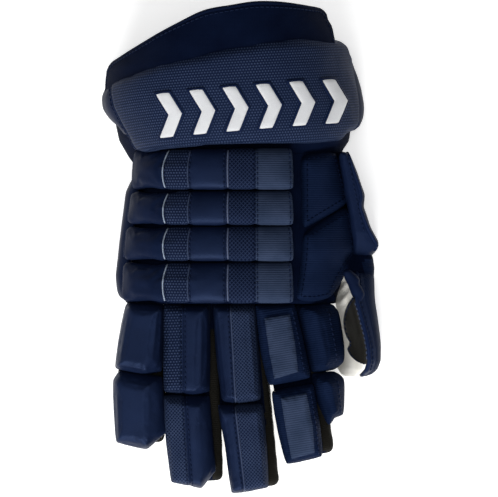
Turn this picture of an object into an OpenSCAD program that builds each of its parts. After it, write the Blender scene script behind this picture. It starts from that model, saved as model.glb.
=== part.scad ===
// Padded ice hockey glove for the right hand, traditional four-roll back.
// It lies palm down: +X thumb side, +Y cuff, -Y fingertips, +Z out of the back of the hand.
// The origin is on the resting plane, under the middle of the outline. Sizes are in millimetres.

/* [Hand] */
// Y of the wrist end of the hand section
wrist_y = 72; // [66:0.5:76]
// Y of the knuckle line, where the four fingers hinge
knuckle_y = -40; // [-44:0.5:-36]
// Height of the knuckle and finger hinge axes
axis_z = 14; // [12:0.5:16]
// Height of the back of the hand shell at its crest
shell_h = 50; // [44:1:54]
// Wall of the shell under the padding
shell_t = 2; // [1.5:0.1:3]
// Skin thickness of every padded cover
skin = 2; // [1.2:0.1:2.5]
// Thickness of the palm sheet
palm_t = 1.5; // [1:0.1:2]

/* [Rolls] */
// Height of the tallest back roll above the resting plane, at the crest
roll_h = 74; // [66:1:80]
// How much lower each next roll towards the knuckles is
roll_step = 2; // [0:0.5:3]
// Gap between two rolls
roll_gap = 1; // [0.6:0.1:2]
// X of the rolls' thumb-side ends
roll_end_x = 39; // [36:0.5:40]

/* [Fingers] */
// Height of the finger stalls
stall_h = 27; // [24:0.5:28]
// Wall of the finger and thumb stalls
stall_t = 1.5; // [1:0.1:2]
// Height of the tops of the finger pads
pad_h = 49; // [44:1:54]
// Largest bend of the knuckle and finger hinges that the stalls leave room for, in degrees
bend = 60; // [30:5:65]
// Gap left on the back of the finger between two pads
pad_gap = 6; // [4:0.5:8]

/* [Thumb] */
// Y of the thumb hinge
thumb_y = -12.5; // [-16:0.5:-10]
// X of the thumb's centre line at its hinge
thumb_x = 85; // [83:0.5:87]
// Length of the thumb from its hinge
thumb_len = 82; // [70:1:84]
// Height of the thumb stall
thumb_stall_h = 28; // [24:1:30]
// Height of the thumb shell
thumb_h = 42; // [36:1:46]

/* [Cuff] */
// Height of the wrist hinge axis
wrist_z = 80; // [76:0.5:82]
// Y of the back of the hand edge of the cuff opening
cuff_end_y = 177.5; // [165:0.5:180]
// Height of the crest of the cuff at its opening
cuff_h = 106; // [100:1:110]
// Thickness of the padded cuff roll
cuff_t = 15; // [12:0.5:18]
// Wall of the inner cuff sleeve
liner_t = 2.2; // [1.5:0.1:3]
// Thickness of the soft panel beyond the padded roll
flare_t = 4; // [2:0.5:6]
// Slope of the cuff opening, as Y per Z
cuff_slope = 0.84; // [0.6:0.02:0.9]
// Slope of the padded roll's back edge, as Y per Z
roll_slope = 0.44; // [0.4:0.02:0.5]
// Largest downward bend of the cuff that its front face leaves room for, in degrees
cuff_bend = 13; // [5:1:16]

/* [Hidden] */

navy = [0.06, 0.09, 0.2];
navy_light = [0.12, 0.17, 0.32];
foam_grey = [0.55, 0.56, 0.58];
plastic_white = [0.85, 0.86, 0.88];
palm_cream = [0.9, 0.89, 0.85];
gusset_black = [0.12, 0.11, 0.1];

play = 0.3;                       // gap left between neighbouring solids
crest_x = -6;                     // X of the highest line of the back of the hand
roundness = 2.4;                  // exponent of the arched cross-sections
arch_steps = 20;                  // straight pieces in an arched cross-section
slice_t = 1;                      // thickness of the slices that the rounded bodies are hulls of
bevel = tan(bend / 2);            // how far a stall's end slopes back per millimetre below its axis

// A finger is [X of its centre line at the knuckle, lean to the thumb side in degrees,
// half the stall's width, distance to the middle joint, distance to the tip,
// low X and high X of the proximal pad, low X and high X of the distal pad].
pinky = [-70.5, -2.5, 13, 48.5, 104.5, -17, 11, -20, 13];
ring = [-34.5, 3, 14, 66.5, 133.5, -21.5, 9, -23.5, 8.5];
middle = [2, 4.5, 14.5, 73, 138, -21.5, 7, -21.5, 7];
index = [35.5, 9, 15, 61.5, 115.5, -18.5, 5, -18.5, 6];
finger_depth = 5;                 // how far a pad's upper edges draw in
side_pad_x = [5.5, 33];           // low and high X of the pads on the index finger's side
side_pad_z = 9;                   // height of the lower edge of those pads
side_near = 6;                    // how far in front of its hinge the nearer of those pads starts
side_gap = 14;                    // length between the nearer pad's end and the middle joint

// Y of the five edges that part the four rolls, wrist end first
roll_edges = [wrist_y, 42.5, 17, -9, knuckle_y + 1.5];
// X of the rolls' little finger ends, wrist end first
roll_left = [-77.5, -80, -84, -87.5, -89];
side_split_z = 31;                // height where the rolls meet the little finger side pad

// --- shared shapes ---

// Half a superellipse over the resting plane, from its low X round to its high X
function arch(low, high, top) = [
    for (i = [0 : arch_steps])
        let (t = 180 - i * 180 / arch_steps, c = cos(t), s = sin(t),
             side = c < 0 ? crest_x - low : high - crest_x)
        [crest_x + side * sign(c) * pow(abs(c), 2 / roundness), top * pow(s, 2 / roundness)]
];

// A thin slice across the glove at one Y
module slice(y, low, high, top)
    translate([0, y, 0]) rotate([90, 0, 0]) linear_extrude(slice_t, center = true)
        polygon(arch(low, high, top));

// A profile in Y and Z, drawn out from one X to another
module side_prism(points, low, high)
    translate([low, 0, 0]) rotate([90, 0, 90]) linear_extrude(high - low) polygon(points);

// The space inside the back of the hand, drawn in by an inset
module hand_core(inset)
    hull() {
        slice(wrist_y - 1, -73 + inset, 72 - inset, shell_h + 1 - inset);
        slice(0, -80 + inset, 80 - inset, shell_h - inset);
        slice(knuckle_y + 0.5, -84 + inset, 67 - inset, shell_h - 2 - inset);
    }

// Room below the knuckle axes, so that the bent fingers clear the hand
module knuckle_room()
    side_prism([
        [knuckle_y - 20, axis_z], [knuckle_y + play, axis_z],
        [knuckle_y + play + bevel * (axis_z + 2), -2], [knuckle_y - 20, -2]
    ], -120, 120);

// --- the hand ---

// Outline of one back roll, drawn in by an inset on every side but the bottom
module roll_block(n, inset) {
    high = roll_edges[n] - roll_gap / 2 - inset;
    low = roll_edges[n + 1] + roll_gap / 2 + inset;
    top = roll_h - roll_step * n - inset;
    shoulder = 6;
    left_high = roll_left[n] + inset;
    left_low = roll_left[n + 1] + inset;
    intersection() {
        hull() {
            slice(high, left_high + 3, 93, top - shoulder);
            slice(high - shoulder, left_high, 95, top);
            slice(low + shoulder, left_low, 95, top);
            slice(low, left_low + 3, 93, top - shoulder);
        }
        translate([-120, -60, side_split_z + play])
            cube([120 + roll_end_x - inset, 160, 80]);
    }
}

module roll_cover(n)
    color(navy) difference() {
        roll_block(n, 0);
        roll_block(n, skin);
        hand_core(-play);
    }

module roll_foam(n)
    color(foam_grey) difference() {
        roll_block(n, skin + 0.1);
        hand_core(-play - 0.1);
    }

// Arched shell that carries the padding over the back of the hand
module backhand_shell()
    color(navy) difference() {
        hand_core(0);
        hand_core(shell_t);
        translate([-120, -60, -1]) cube([240, 200, palm_t + 2.1]);
        knuckle_room();
    }

// Outline of the palm, from the knuckles to the wrist
module palm_outline(inset)
    offset(delta = -inset) polygon([
        [-82, knuckle_y + 10], [-84, -20], [-80, 10], [-73, wrist_y - 1],
        [72, wrist_y - 1], [79, 20], [80, 0], [76, -12], [68, knuckle_y + 10]
    ]);

module palm_sheet()
    color(palm_cream) translate([0, 0, 1]) linear_extrude(palm_t) palm_outline(1);

// Wear patch over the heel of the hand
module palm_heel_patch()
    color(palm_cream) linear_extrude(1) intersection() {
        palm_outline(6);
        translate([-90, -24]) square([180, 90]);
    }

// The padding's arch on the thumb side, drawn in by an inset
module side_arch(inset)
    hull() {
        slice(wrist_y, -60, 82 - inset, shell_h + 12 - inset);
        slice(0, -60, 88 - inset, shell_h + 11 - inset);
        slice(knuckle_y + 1, -60, 76 - inset, shell_h + 8 - inset);
    }

module upper_panel_outline(inset)
    offset(delta = -inset) polygon([
        [44, 68.5], [69.5, 71.5], [73.5, 57.5], [76.5, 45.5], [78.5, 35.5], [53.5, 20.5], [44, 14]
    ]);

module lower_panel_outline(inset)
    offset(delta = -inset) polygon([
        [44.5, 10.5], [79.5, 31.5], [80.5, 27.5], [83.5, 2.5], [83.5, -3.5], [76.5, -12.5],
        [70.5, -23.5], [65, -35], [53.5, knuckle_y + 2], [39, knuckle_y + 2], [41.5, -22.5],
        [43.5, -7.5]
    ]);

// A panel between its plan outline, the padding's arch and the hand's shell
module panel(inset)
    difference() {
        intersection() {
            side_arch(inset);
            translate([0, 0, side_pad_z]) linear_extrude(80) children();
        }
        hand_core(-play - inset / 20);
    }

module thumb_side_panel_upper()
    color(navy_light) difference() {
        panel(0) upper_panel_outline(0);
        panel(skin) upper_panel_outline(skin);
    }

module thumb_side_panel_lower()
    color(navy_light) difference() {
        panel(0) lower_panel_outline(0);
        panel(skin) lower_panel_outline(skin);
        knuckle_room();
    }

module thumb_side_foam()
    color(foam_grey) difference() {
        union() {
            panel(skin + 0.1) upper_panel_outline(skin + 0.1);
            panel(skin + 0.1) lower_panel_outline(skin + 0.1);
        }
        translate([0, 0, 0.1]) knuckle_room();
    }

// Low pad along the little finger edge of the hand
module pinky_side_pad()
    color(navy) difference() {
        hull() {
            slice(58, -77, 20, side_split_z + 10);
            slice(42, -85, 20, side_split_z + 12);
            slice(-29, -92.5, 20, side_split_z + 12);
            slice(knuckle_y + 2, -90, 20, side_split_z + 10);
        }
        hand_core(-play);
        translate([-60, -100, -1]) cube([120, 200, 80]);
        translate([-120, -100, side_split_z]) cube([240, 200, 80]);
        translate([-120, -100, -1]) cube([240, 200, 5]);
        knuckle_room();
    }

// Stiff flap along the thumb side of the wrist, down to the root of the thumb
module thumb_side_flap()
    color(navy) difference() {
        translate([0, 0, 4]) linear_extrude(26) polygon([
            [74.5, 71.5], [77, 71.5], [82.5, 57.5], [89, 39.5], [88, 30.5], [93.5, 15.5],
            [98.5, 6.5], [100.5, 2.5], [98.5, -1.5], [94.5, -5.5], [86.5, -5.5], [86.5, 7.5],
            [82.5, 27.5], [79.5, 42.5]
        ]);
        hand_core(-play);
    }

// --- the cuff ---

// The flared body of the cuff, drawn in by an inset
module cuff_body(inset)
    hull() {
        slice(wrist_y, -85 + inset, 78 - inset, wrist_z + 4 - inset);
        slice(90, -95 + inset, 88.5 - inset, wrist_z + 12 - inset);
        slice(112, -102 + inset, 88 - inset, cuff_h - 6 - inset);
        slice(132, -100.5 + inset, 83 - inset, cuff_h - 2 - inset);
        slice(cuff_end_y + 2, -76 + inset, 62 - inset, cuff_h - inset);
    }

// Everything in front of a plane that slopes like the opening, at a distance back from it
module before_plane(back, slope)
    side_prism([
        [-50, 130], [-50, -2], [cuff_end_y - back - slope * (cuff_h + 2), -2],
        [cuff_end_y - back + slope * (130 - cuff_h), 130]
    ], -120, 120);

// Everything behind the cuff's front face, which slopes back below the wrist hinge
module behind_front(front)
    side_prism([
        [wrist_y + 2 + front, 130], [wrist_y + 2 + front, wrist_z],
        [wrist_y + 2 + front + (wrist_z + 2) * tan(cuff_bend), -2], [260, -2], [260, 130]
    ], -120, 120);

cuff_roll_back = 31;              // how far the padded roll stops short of the opening
cuff_foot = 8;                    // height of the two lower ends of the padded roll
binding_w = 6;                    // width of the bound edge

// The padded roll's space between two insets, open below
module cuff_roll(outer, inner, ends, foot)
    difference() {
        intersection() {
            cuff_body(outer);
            behind_front(ends);
            before_plane(cuff_roll_back + ends, roll_slope);
        }
        cuff_body(inner);
        translate([-120, 0, -1]) cube([240, 200, foot + 1]);
    }

module cuff_cover()
    color(navy_light) difference() {
        cuff_roll(0, cuff_t, 0, cuff_foot);
        cuff_roll(skin, cuff_t + 1, skin, cuff_foot + skin);
    }

module cuff_foam()
    color(foam_grey)
        cuff_roll(skin + 0.1, cuff_t - 2.3, skin + 0.1, cuff_foot + skin + 0.1);

// Bent plastic plate under the foam
module cuff_insert()
    color(plastic_white)
        cuff_roll(cuff_t - 2.2, cuff_t - 0.1, skin + 0.2, cuff_foot + skin + 0.2);

// Inner sleeve that the wrist goes through
module cuff_sleeve()
    color(navy) difference() {
        intersection() {
            cuff_body(cuff_t + 0.1);
            behind_front(0);
            before_plane(cuff_roll_back, roll_slope);
            translate([-120, 0, 3]) cube([240, 200, 120]);
        }
        difference() {
            cuff_body(cuff_t + 0.1 + liner_t);
            translate([-120, 0, -1]) cube([240, 200, 4 + liner_t]);
        }
    }

// Soft upper panel that flares out beyond the padded roll
module cuff_flare()
    color(navy) difference() {
        intersection() {
            cuff_body(2);
            before_plane(binding_w, cuff_slope);
            translate([-120, 0, cuff_foot]) cube([240, 200, 120]);
        }
        cuff_body(2 + flare_t);
        before_plane(cuff_roll_back - 0.2, roll_slope);
    }

// Bound edge round the flared opening
module cuff_binding()
    color(navy_light) difference() {
        intersection() {
            cuff_body(1);
            before_plane(0, cuff_slope);
            translate([-120, 0, cuff_foot]) cube([240, 200, 120]);
        }
        before_plane(binding_w - 0.05, cuff_slope);
        before_plane(cuff_roll_back - 0.2, roll_slope);
        cuff_body(3 + flare_t);
    }

mark_count = 6;                   // embroidered chevrons on the cuff
mark_pitch = 23.5;                // distance from one chevron to the next
mark_h = 32;                      // height of a chevron
mark_w = 11;                      // width of a chevron's stroke along X

// Row of plain chevrons across the back of the cuff
module cuff_emblem()
    color("white") intersection() {
        difference() {
            cuff_body(-0.9);
            cuff_body(-0.05);
        }
        translate([0, 0, wrist_z]) linear_extrude(40) rotate(5)
            for (i = [0 : mark_count - 1])
                translate([-52 + i * mark_pitch, 84]) polygon([
                    [0, 0], [mark_w, 0], [mark_w + 8, mark_h / 2], [mark_w, mark_h],
                    [0, mark_h], [8, mark_h / 2]
                ]);
    }

// --- the fingers ---

// Puts its children in a finger's own frame: origin under its knuckle axis, tip towards -Y
module at_finger(f)
    translate([f[0], knuckle_y, 0]) rotate(f[1]) children();

// Side view of a length of finger, its two ends sloping away below the axis
function stall_side(near, far, low, high, near_slope, far_slope) = [
    [-near, high], [-near, axis_z],
    [-near - near_slope * (axis_z - low), low],
    [-far + far_slope * (axis_z - low), low],
    [-far, axis_z], [-far, high]
];

module proximal_space(f, low, high, left, right, inset)
    side_prism(stall_side(play + inset, f[3] - play - inset, low, high, bevel, bevel),
        left, right);

module distal_space(f, low, high, left, right, inset)
    side_prism(stall_side(f[3] + play + inset, f[4] - inset, low, high, bevel, 0),
        left, right);

// Hollow square sleeve for the first half of a finger, open at both ends
module proximal_stall(f)
    color(gusset_black) at_finger(f) difference() {
        proximal_space(f, 0, stall_h, -f[2], f[2], 0);
        side_prism([[10, stall_t], [10, stall_h - stall_t],
            [-f[4], stall_h - stall_t], [-f[4], stall_t]], -f[2] + stall_t, f[2] - stall_t);
    }

// Hollow fingertip sleeve, closed at the tip
module distal_stall(f)
    color(gusset_black) at_finger(f) difference() {
        distal_space(f, 0, stall_h, -f[2], f[2], 3);
        side_prism([[10, stall_t], [10, stall_h - stall_t],
            [-f[4] + 5, stall_h - stall_t], [-f[4] + 5, stall_t]],
            -f[2] + stall_t, f[2] - stall_t);
    }

// A block with drawn-in upper edges, in a finger's frame
module pad_block(near, far, left, right, low, high, inset)
    hull() {
        translate([left + inset, -far + inset, low])
            cube([right - left - 2 * inset, far - near - 2 * inset, high - low - 8]);
        translate([left + finger_depth + inset, -far + finger_depth + inset, low])
            cube([right - left - 2 * finger_depth - 2 * inset,
                far - near - 2 * finger_depth - 2 * inset, high - low - inset]);
    }

module pad_cover(f, near, far, left, right, high)
    at_finger(f) difference() {
        pad_block(near, far, left, right, stall_h + 0.1, high, 0);
        translate([0, 0, -1]) pad_block(near, far, left, right, stall_h + 0.1, high + 1, skin);
    }

module pad_foam(f, near, far, left, right, high)
    color(foam_grey) at_finger(f)
        pad_block(near, far, left, right, stall_h + 0.2, high, skin + 0.1);

module proximal_pad(f)
    color(navy) pad_cover(f, 2, f[3] - pad_gap / 2, f[5], f[6], pad_h);

module proximal_foam(f) pad_foam(f, 2, f[3] - pad_gap / 2, f[5], f[6], pad_h);

module distal_pad(f)
    color(navy) pad_cover(f, f[3] + pad_gap / 2, f[4], f[7], f[8], pad_h - 3);

module distal_foam(f) pad_foam(f, f[3] + pad_gap / 2, f[4], f[7], f[8], pad_h - 3);

// The two-step section of the pads on the index finger's side, drawn in by an inset
module side_section(f, inset) {
    low = side_pad_x[0];
    high = side_pad_x[1];
    step = f[2] + play;
    polygon([
        [low + 1 + inset, stall_h + play], [low + 1 + inset, 40 - inset], [low + 6, 44 - inset],
        [low + 16, 42 - inset], [high - inset, 30 - inset], [high - inset, side_pad_z + 5 + inset],
        [high - 6, side_pad_z + inset], [step, side_pad_z + inset], [step, stall_h + play]
    ]);
}

module side_block(f, near, far, inset, near_slope, far_slope)
    at_finger(f) intersection() {
        translate([0, -near - inset, 0]) rotate([90, 0, 0])
            linear_extrude(far - near - 2 * inset) side_section(f, inset);
        side_prism(stall_side(near + inset, far - inset, 0, 60, near_slope, far_slope), 0, 60);
    }

module index_proximal_side_pad()
    color(navy_light) difference() {
        side_block(index, side_near, index[3] - side_gap, 0, bevel, bevel);
        side_block(index, side_near, index[3] - side_gap, skin, bevel, bevel);
    }

module index_proximal_side_foam()
    color(foam_grey) side_block(index, side_near, index[3] - side_gap, skin + 0.1, bevel, bevel);

module index_distal_side_pad()
    color(navy_light) difference() {
        side_block(index, index[3] + 3, index[3] + 30, 0, bevel, 0);
        side_block(index, index[3] + 3, index[3] + 30, skin, bevel, 0);
    }

module index_distal_side_foam()
    color(foam_grey) side_block(index, index[3] + 3, index[3] + 30, skin + 0.1, bevel, 0);

// --- the thumb ---

thumb_lean = 3;                   // lean of the thumb away from the fingers, in degrees
thumb_half = 11.5;                // half the width of the thumb stall
thumb_open = 8;                   // gap between the hinge and the near end of the thumb
thumb_bend = tan(20);             // slope of the thumb's near end below its axis

// Puts its children in the thumb's frame: origin under its hinge, tip towards -Y
module at_thumb()
    translate([thumb_x, thumb_y, 0]) rotate(thumb_lean) children();

module thumb_stall()
    color(gusset_black) at_thumb() difference() {
        side_prism(stall_side(thumb_open, thumb_len - 3, 0, thumb_stall_h, thumb_bend, 0),
            -thumb_half, thumb_half);
        side_prism([[10, stall_t], [10, thumb_stall_h - stall_t],
            [-thumb_len + 5, thumb_stall_h - stall_t], [-thumb_len + 5, stall_t]],
            -thumb_half + stall_t, thumb_half - stall_t);
    }

// Section of the padded thumb shell, over the top and the outer side of the stall
module thumb_section(inset)
    polygon([
        [-thumb_half + inset, thumb_stall_h + play],
        [-thumb_half + inset, thumb_h - 8 - inset], [-5, thumb_h - inset],
        [6, thumb_h - inset], [14.5 - inset, 30], [14.5 - inset, 8 + inset],
        [thumb_half + play, 4 + inset], [thumb_half + play, thumb_stall_h + play]
    ]);

module thumb_block(inset)
    at_thumb() intersection() {
        translate([0, -thumb_open + 2 - inset, 0]) rotate([90, 0, 0])
            linear_extrude(thumb_len - thumb_open + 2 - 2 * inset) thumb_section(inset);
        side_prism(stall_side(thumb_open - 2 + inset, thumb_len - inset, 0, 60, thumb_bend, 0),
            -30, 30);
    }

module thumb_shell()
    color(navy) difference() {
        thumb_block(0);
        thumb_block(1.2);
    }

lock_h = 2;                       // thickness of the plate that keeps the thumb from bending back

// Foam under the thumb shell, over the lock plate
module thumb_foam()
    color(foam_grey) difference() {
        thumb_block(1.3);
        at_thumb() translate([-30, -100, 0]) cube([60, 120, thumb_stall_h + lock_h + 1]);
    }

// Plastic plate on the thumb's back that keeps it from bending back
module thumb_lock()
    color(plastic_white) at_thumb()
        translate([-8, -thumb_len + 8, thumb_stall_h + play + 0.2])
            cube([16, thumb_len - thumb_open - 14, lock_h]);

// Rubbery grip patch on the side of the thumb that faces the fingers
module thumb_grip()
    color(gusset_black) at_thumb()
        translate([-thumb_half - 1.2, -68, 5]) cube([1.1, 44, 20]);

palm_sheet();
palm_heel_patch();
backhand_shell();
roll_cover(0);  // roll_1_cover
roll_cover(1);  // roll_2_cover
roll_cover(2);  // roll_3_cover
roll_cover(3);  // roll_4_cover
roll_foam(0);  // roll_1_foam
roll_foam(1);  // roll_2_foam
roll_foam(2);  // roll_3_foam
roll_foam(3);  // roll_4_foam
thumb_side_panel_upper();
thumb_side_panel_lower();
thumb_side_foam();
pinky_side_pad();
thumb_side_flap();
cuff_cover();
cuff_foam();
cuff_insert();
cuff_sleeve();
cuff_flare();
cuff_binding();
cuff_emblem();
proximal_pad(pinky);  // pinky_proximal_pad
proximal_foam(pinky);  // pinky_proximal_foam
proximal_stall(pinky);  // pinky_proximal_stall
distal_pad(pinky);  // pinky_distal_pad
distal_foam(pinky);  // pinky_distal_foam
distal_stall(pinky);  // pinky_distal_stall
proximal_pad(ring);  // ring_proximal_pad
proximal_foam(ring);  // ring_proximal_foam
proximal_stall(ring);  // ring_proximal_stall
distal_pad(ring);  // ring_distal_pad
distal_foam(ring);  // ring_distal_foam
distal_stall(ring);  // ring_distal_stall
proximal_pad(middle);  // middle_proximal_pad
proximal_foam(middle);  // middle_proximal_foam
proximal_stall(middle);  // middle_proximal_stall
distal_pad(middle);  // middle_distal_pad
distal_foam(middle);  // middle_distal_foam
distal_stall(middle);  // middle_distal_stall
proximal_pad(index);  // index_proximal_pad
proximal_foam(index);  // index_proximal_foam
proximal_stall(index);  // index_proximal_stall
distal_pad(index);  // index_distal_pad
distal_foam(index);  // index_distal_foam
distal_stall(index);  // index_distal_stall
index_proximal_side_pad();
index_proximal_side_foam();
index_distal_side_pad();
index_distal_side_foam();
thumb_shell();
thumb_foam();
thumb_lock();
thumb_stall();
thumb_grip();
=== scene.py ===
"""Padded ice hockey glove, right hand, lying palm down: +X thumb side, +Y cuff, +Z out of the back."""

import math
import random

import bmesh
import bpy
import numpy as np
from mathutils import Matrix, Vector, noise
from mathutils.bvhtree import BVHTree


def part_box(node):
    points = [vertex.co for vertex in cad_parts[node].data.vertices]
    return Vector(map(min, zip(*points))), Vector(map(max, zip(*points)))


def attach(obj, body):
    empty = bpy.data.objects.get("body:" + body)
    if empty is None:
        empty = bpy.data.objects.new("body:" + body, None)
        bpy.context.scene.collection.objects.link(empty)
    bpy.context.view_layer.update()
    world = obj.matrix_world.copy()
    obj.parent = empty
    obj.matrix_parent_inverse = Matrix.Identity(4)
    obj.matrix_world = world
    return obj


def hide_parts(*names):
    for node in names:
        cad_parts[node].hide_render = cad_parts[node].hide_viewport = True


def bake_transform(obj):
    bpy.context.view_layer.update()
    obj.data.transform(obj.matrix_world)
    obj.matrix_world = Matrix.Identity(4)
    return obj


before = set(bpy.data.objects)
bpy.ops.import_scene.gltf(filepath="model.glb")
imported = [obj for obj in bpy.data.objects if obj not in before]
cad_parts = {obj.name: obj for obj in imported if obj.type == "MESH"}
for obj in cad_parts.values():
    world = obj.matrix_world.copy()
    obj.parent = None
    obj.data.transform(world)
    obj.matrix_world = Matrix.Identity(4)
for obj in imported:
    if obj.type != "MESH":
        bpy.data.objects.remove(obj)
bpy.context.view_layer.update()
shuffle = random.Random(14)

MM = 0.001
FINGERS = ("pinky", "ring", "middle", "index")
HALVES = ("proximal", "distal")
KNUCKLE_Y = -40.0
CREST_X = -6.0      # X of the highest line along the back
ARCH_POWER = 2.4    # squareness of the back's arch: 2 is an ellipse
STALL_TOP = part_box("middle_proximal_stall")[1][2] / MM


# ---------------------------------------------------------------- small geometry helpers

def array_of(points):
    return np.array(points, float)


def unit(vectors):
    """Vectors of length one."""
    return vectors / np.maximum(np.linalg.norm(vectors, axis=1), 1e-9)[:, None]


def running_length(points):
    """The distance along a path to each of its points."""
    return np.concatenate([[0], np.cumsum(np.linalg.norm(np.diff(points, axis=0), axis=1))])


def row_at(table, y):
    """The other columns of a table at a Y between its rows, whose Y rises or falls."""
    rows = np.array(table, float)
    sign = np.sign(rows[-1, 0] - rows[0, 0])
    return [float(np.interp(sign * y, sign * rows[:, 0], column)) for column in rows.T[1:]]


def signed_area(p):
    """The area in a closed outline, above 0 if it runs counter-clockwise."""
    return np.sum(p[:, 0] * np.roll(p[:, 1], -1) - np.roll(p[:, 0], -1) * p[:, 1]) / 2


def smooth_path(points, step):
    """A Catmull-Rom curve through the points, sampled about every step millimetres."""
    p = np.array(points, float)
    ends = np.vstack([2 * p[0] - p[1], p, 2 * p[-1] - p[-2]])
    out = []
    for a, b, c, d in zip(ends[:-3], ends[1:-2], ends[2:-1], ends[3:]):
        count = max(1, int(round(np.linalg.norm(c - b) / step)))
        for i in range(count):
            t = i / count
            out.append(0.5 * ((2 * b) + (c - a) * t + (2 * a - 5 * b + 4 * c - d) * t * t
                              + (3 * b - a - 3 * c + d) * t ** 3))
    out.append(p[-1])
    return np.array(out)


def straight_path(points, step):
    """Points along straight legs, about every step millimetres, corners kept."""
    p = np.array(points, float)
    out = [p[0]]
    for a, b in zip(p[:-1], p[1:]):
        count = max(1, int(round(np.linalg.norm(b - a) / step)))
        out += [a + (b - a) * i / count for i in range(1, count + 1)]
    return np.array(out)


def inset_outline(points, distance):
    """A plan outline drawn in by a distance, corner by corner."""
    p = array_of(points)
    side = 1.0 if signed_area(p) > 0 else -1.0
    out = []
    for i in range(len(p)):
        a, b, c = p[i - 1], p[i], p[(i + 1) % len(p)]
        e, f = (b - a) / np.linalg.norm(b - a), (c - b) / np.linalg.norm(c - b)
        n, m = np.array([-e[1], e[0]]) * side, np.array([-f[1], f[0]]) * side
        mitre = (n + m) / max(0.4, 1 + float(n @ m))
        out.append(b + mitre * distance)
    return np.array(out)


def round_outline(points, radius, steps=4):
    """A plan outline with its corners rounded off."""
    p = array_of(points)
    out = []
    for i in range(len(p)):
        a, b, c = p[i - 1], p[i], p[(i + 1) % len(p)]
        r = min(radius, 0.45 * np.linalg.norm(a - b), 0.45 * np.linalg.norm(c - b))
        start = b + (a - b) / np.linalg.norm(a - b) * r
        end = b + (c - b) / np.linalg.norm(c - b) * r
        for k in range(steps + 1):
            t = k / steps
            out.append((1 - t) ** 2 * start + 2 * t * (1 - t) * b + t * t * end)
    return np.array(out)


def link_object(name, data):
    obj = bpy.data.objects.new(name, data)
    bpy.context.scene.collection.objects.link(obj)
    return obj


def make_object(name, verts, faces, materials):
    """A smooth mesh object from millimetre points."""
    mesh = bpy.data.meshes.new(name)
    mesh.from_pydata([tuple(c * MM for c in v) for v in verts], [], [list(f) for f in faces])
    mesh.validate()
    mesh.update()
    for m in materials:
        mesh.materials.append(m)
    mesh.polygons.foreach_set("use_smooth", [True] * len(mesh.polygons))
    return link_object(name, mesh)


def thicken(obj, thickness, offset):
    """Makes cloth of a surface: offset 0 thickens it both ways, 1 outwards and -1 inwards."""
    modifier = obj.modifiers.new("thickness", "SOLIDIFY")
    modifier.thickness = thickness * MM
    modifier.offset = offset


def subdivide(obj):
    modifier = obj.modifiers.new("subdivision", "SUBSURF")
    modifier.levels = modifier.render_levels = 1


def bridge(rings, closed=True, cap_start=False, cap_end=False):
    """Points and faces of a skin over rings of equal length."""
    n = len(rings[0])
    verts = [p for ring in rings for p in ring]
    faces = []
    for i in range(len(rings) - 1):
        for j in range(n if closed else n - 1):
            k = (j + 1) % n
            faces.append((i * n + j, i * n + k, (i + 1) * n + k, (i + 1) * n + j))
    if cap_start:
        faces.append(tuple(reversed(range(n))))
    if cap_end:
        faces.append(tuple(range((len(rings) - 1) * n, len(rings) * n)))
    return verts, faces


def put_uv(mesh, coords):
    """One UV per loop, 100 mm to the unit, so that weaves keep their real size."""
    layer = mesh.uv_layers.new(name="cloth")
    layer.data.foreach_set("uv", (np.asarray(coords, float) * 0.01).ravel())


def vertex_uv(mesh, coords):
    """The same UV at a vertex for all the faces that meet there."""
    put_uv(mesh, [coords[i] for p in mesh.polygons for i in p.vertices])


def make_cloth(name, rings, closed, material, uv, thickness, offset=0):
    """A sheet or tube of one material over rings of points, with a UV for each point."""
    obj = make_object(name, *bridge(rings, closed), [material])
    vertex_uv(obj.data, uv)
    thicken(obj, thickness, offset)
    return obj


def arch_curve(low, high, top, steps=240):
    """Half a superellipse over the resting plane, from its low X round to its high X."""
    t = np.linspace(math.pi, 0, steps)
    c, s = np.cos(t), np.clip(np.sin(t), 0, None)
    side = np.where(c < 0, CREST_X - low, high - CREST_X)
    x = CREST_X + side * np.sign(c) * np.abs(c) ** (2 / ARCH_POWER)
    return np.stack([x, top * s ** (2 / ARCH_POWER)], 1)


def neighbours(faces, count):
    """The pairs of points that share an edge, and how many such pairs each point has."""
    pairs = set()
    for f in faces:
        for a, b in zip(f, list(f[1:]) + [f[0]]):
            pairs.add((a, b))
            pairs.add((b, a))
    pairs = np.array(sorted(pairs))
    degree = np.bincount(pairs[:, 0], minlength=count)
    return pairs, np.maximum(degree, 1)


def relax(verts, faces, rounds):
    """Rounds off a mesh's edges a little, moving each point halfway to its neighbours' mean."""
    pairs, degree = neighbours(faces, len(verts))
    for _ in range(rounds):
        total = np.zeros_like(verts)
        np.add.at(total, pairs[:, 0], verts[pairs[:, 1]])
        verts = verts + 0.5 * (total / degree[:, None] - verts)
    return verts


CLOTH = {"quality": 4, "mass": 0.3, "tension_stiffness": 12, "compression_stiffness": 12,
         "shear_stiffness": 6, "bending_stiffness": 0.4, "use_pressure": True,
         "vertex_group_mass": "pin"}
CLOTH_FRAMES = 14
CLOTH_SCALE = 0.01    # metres in the simulation to a millimetre of the glove


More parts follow.
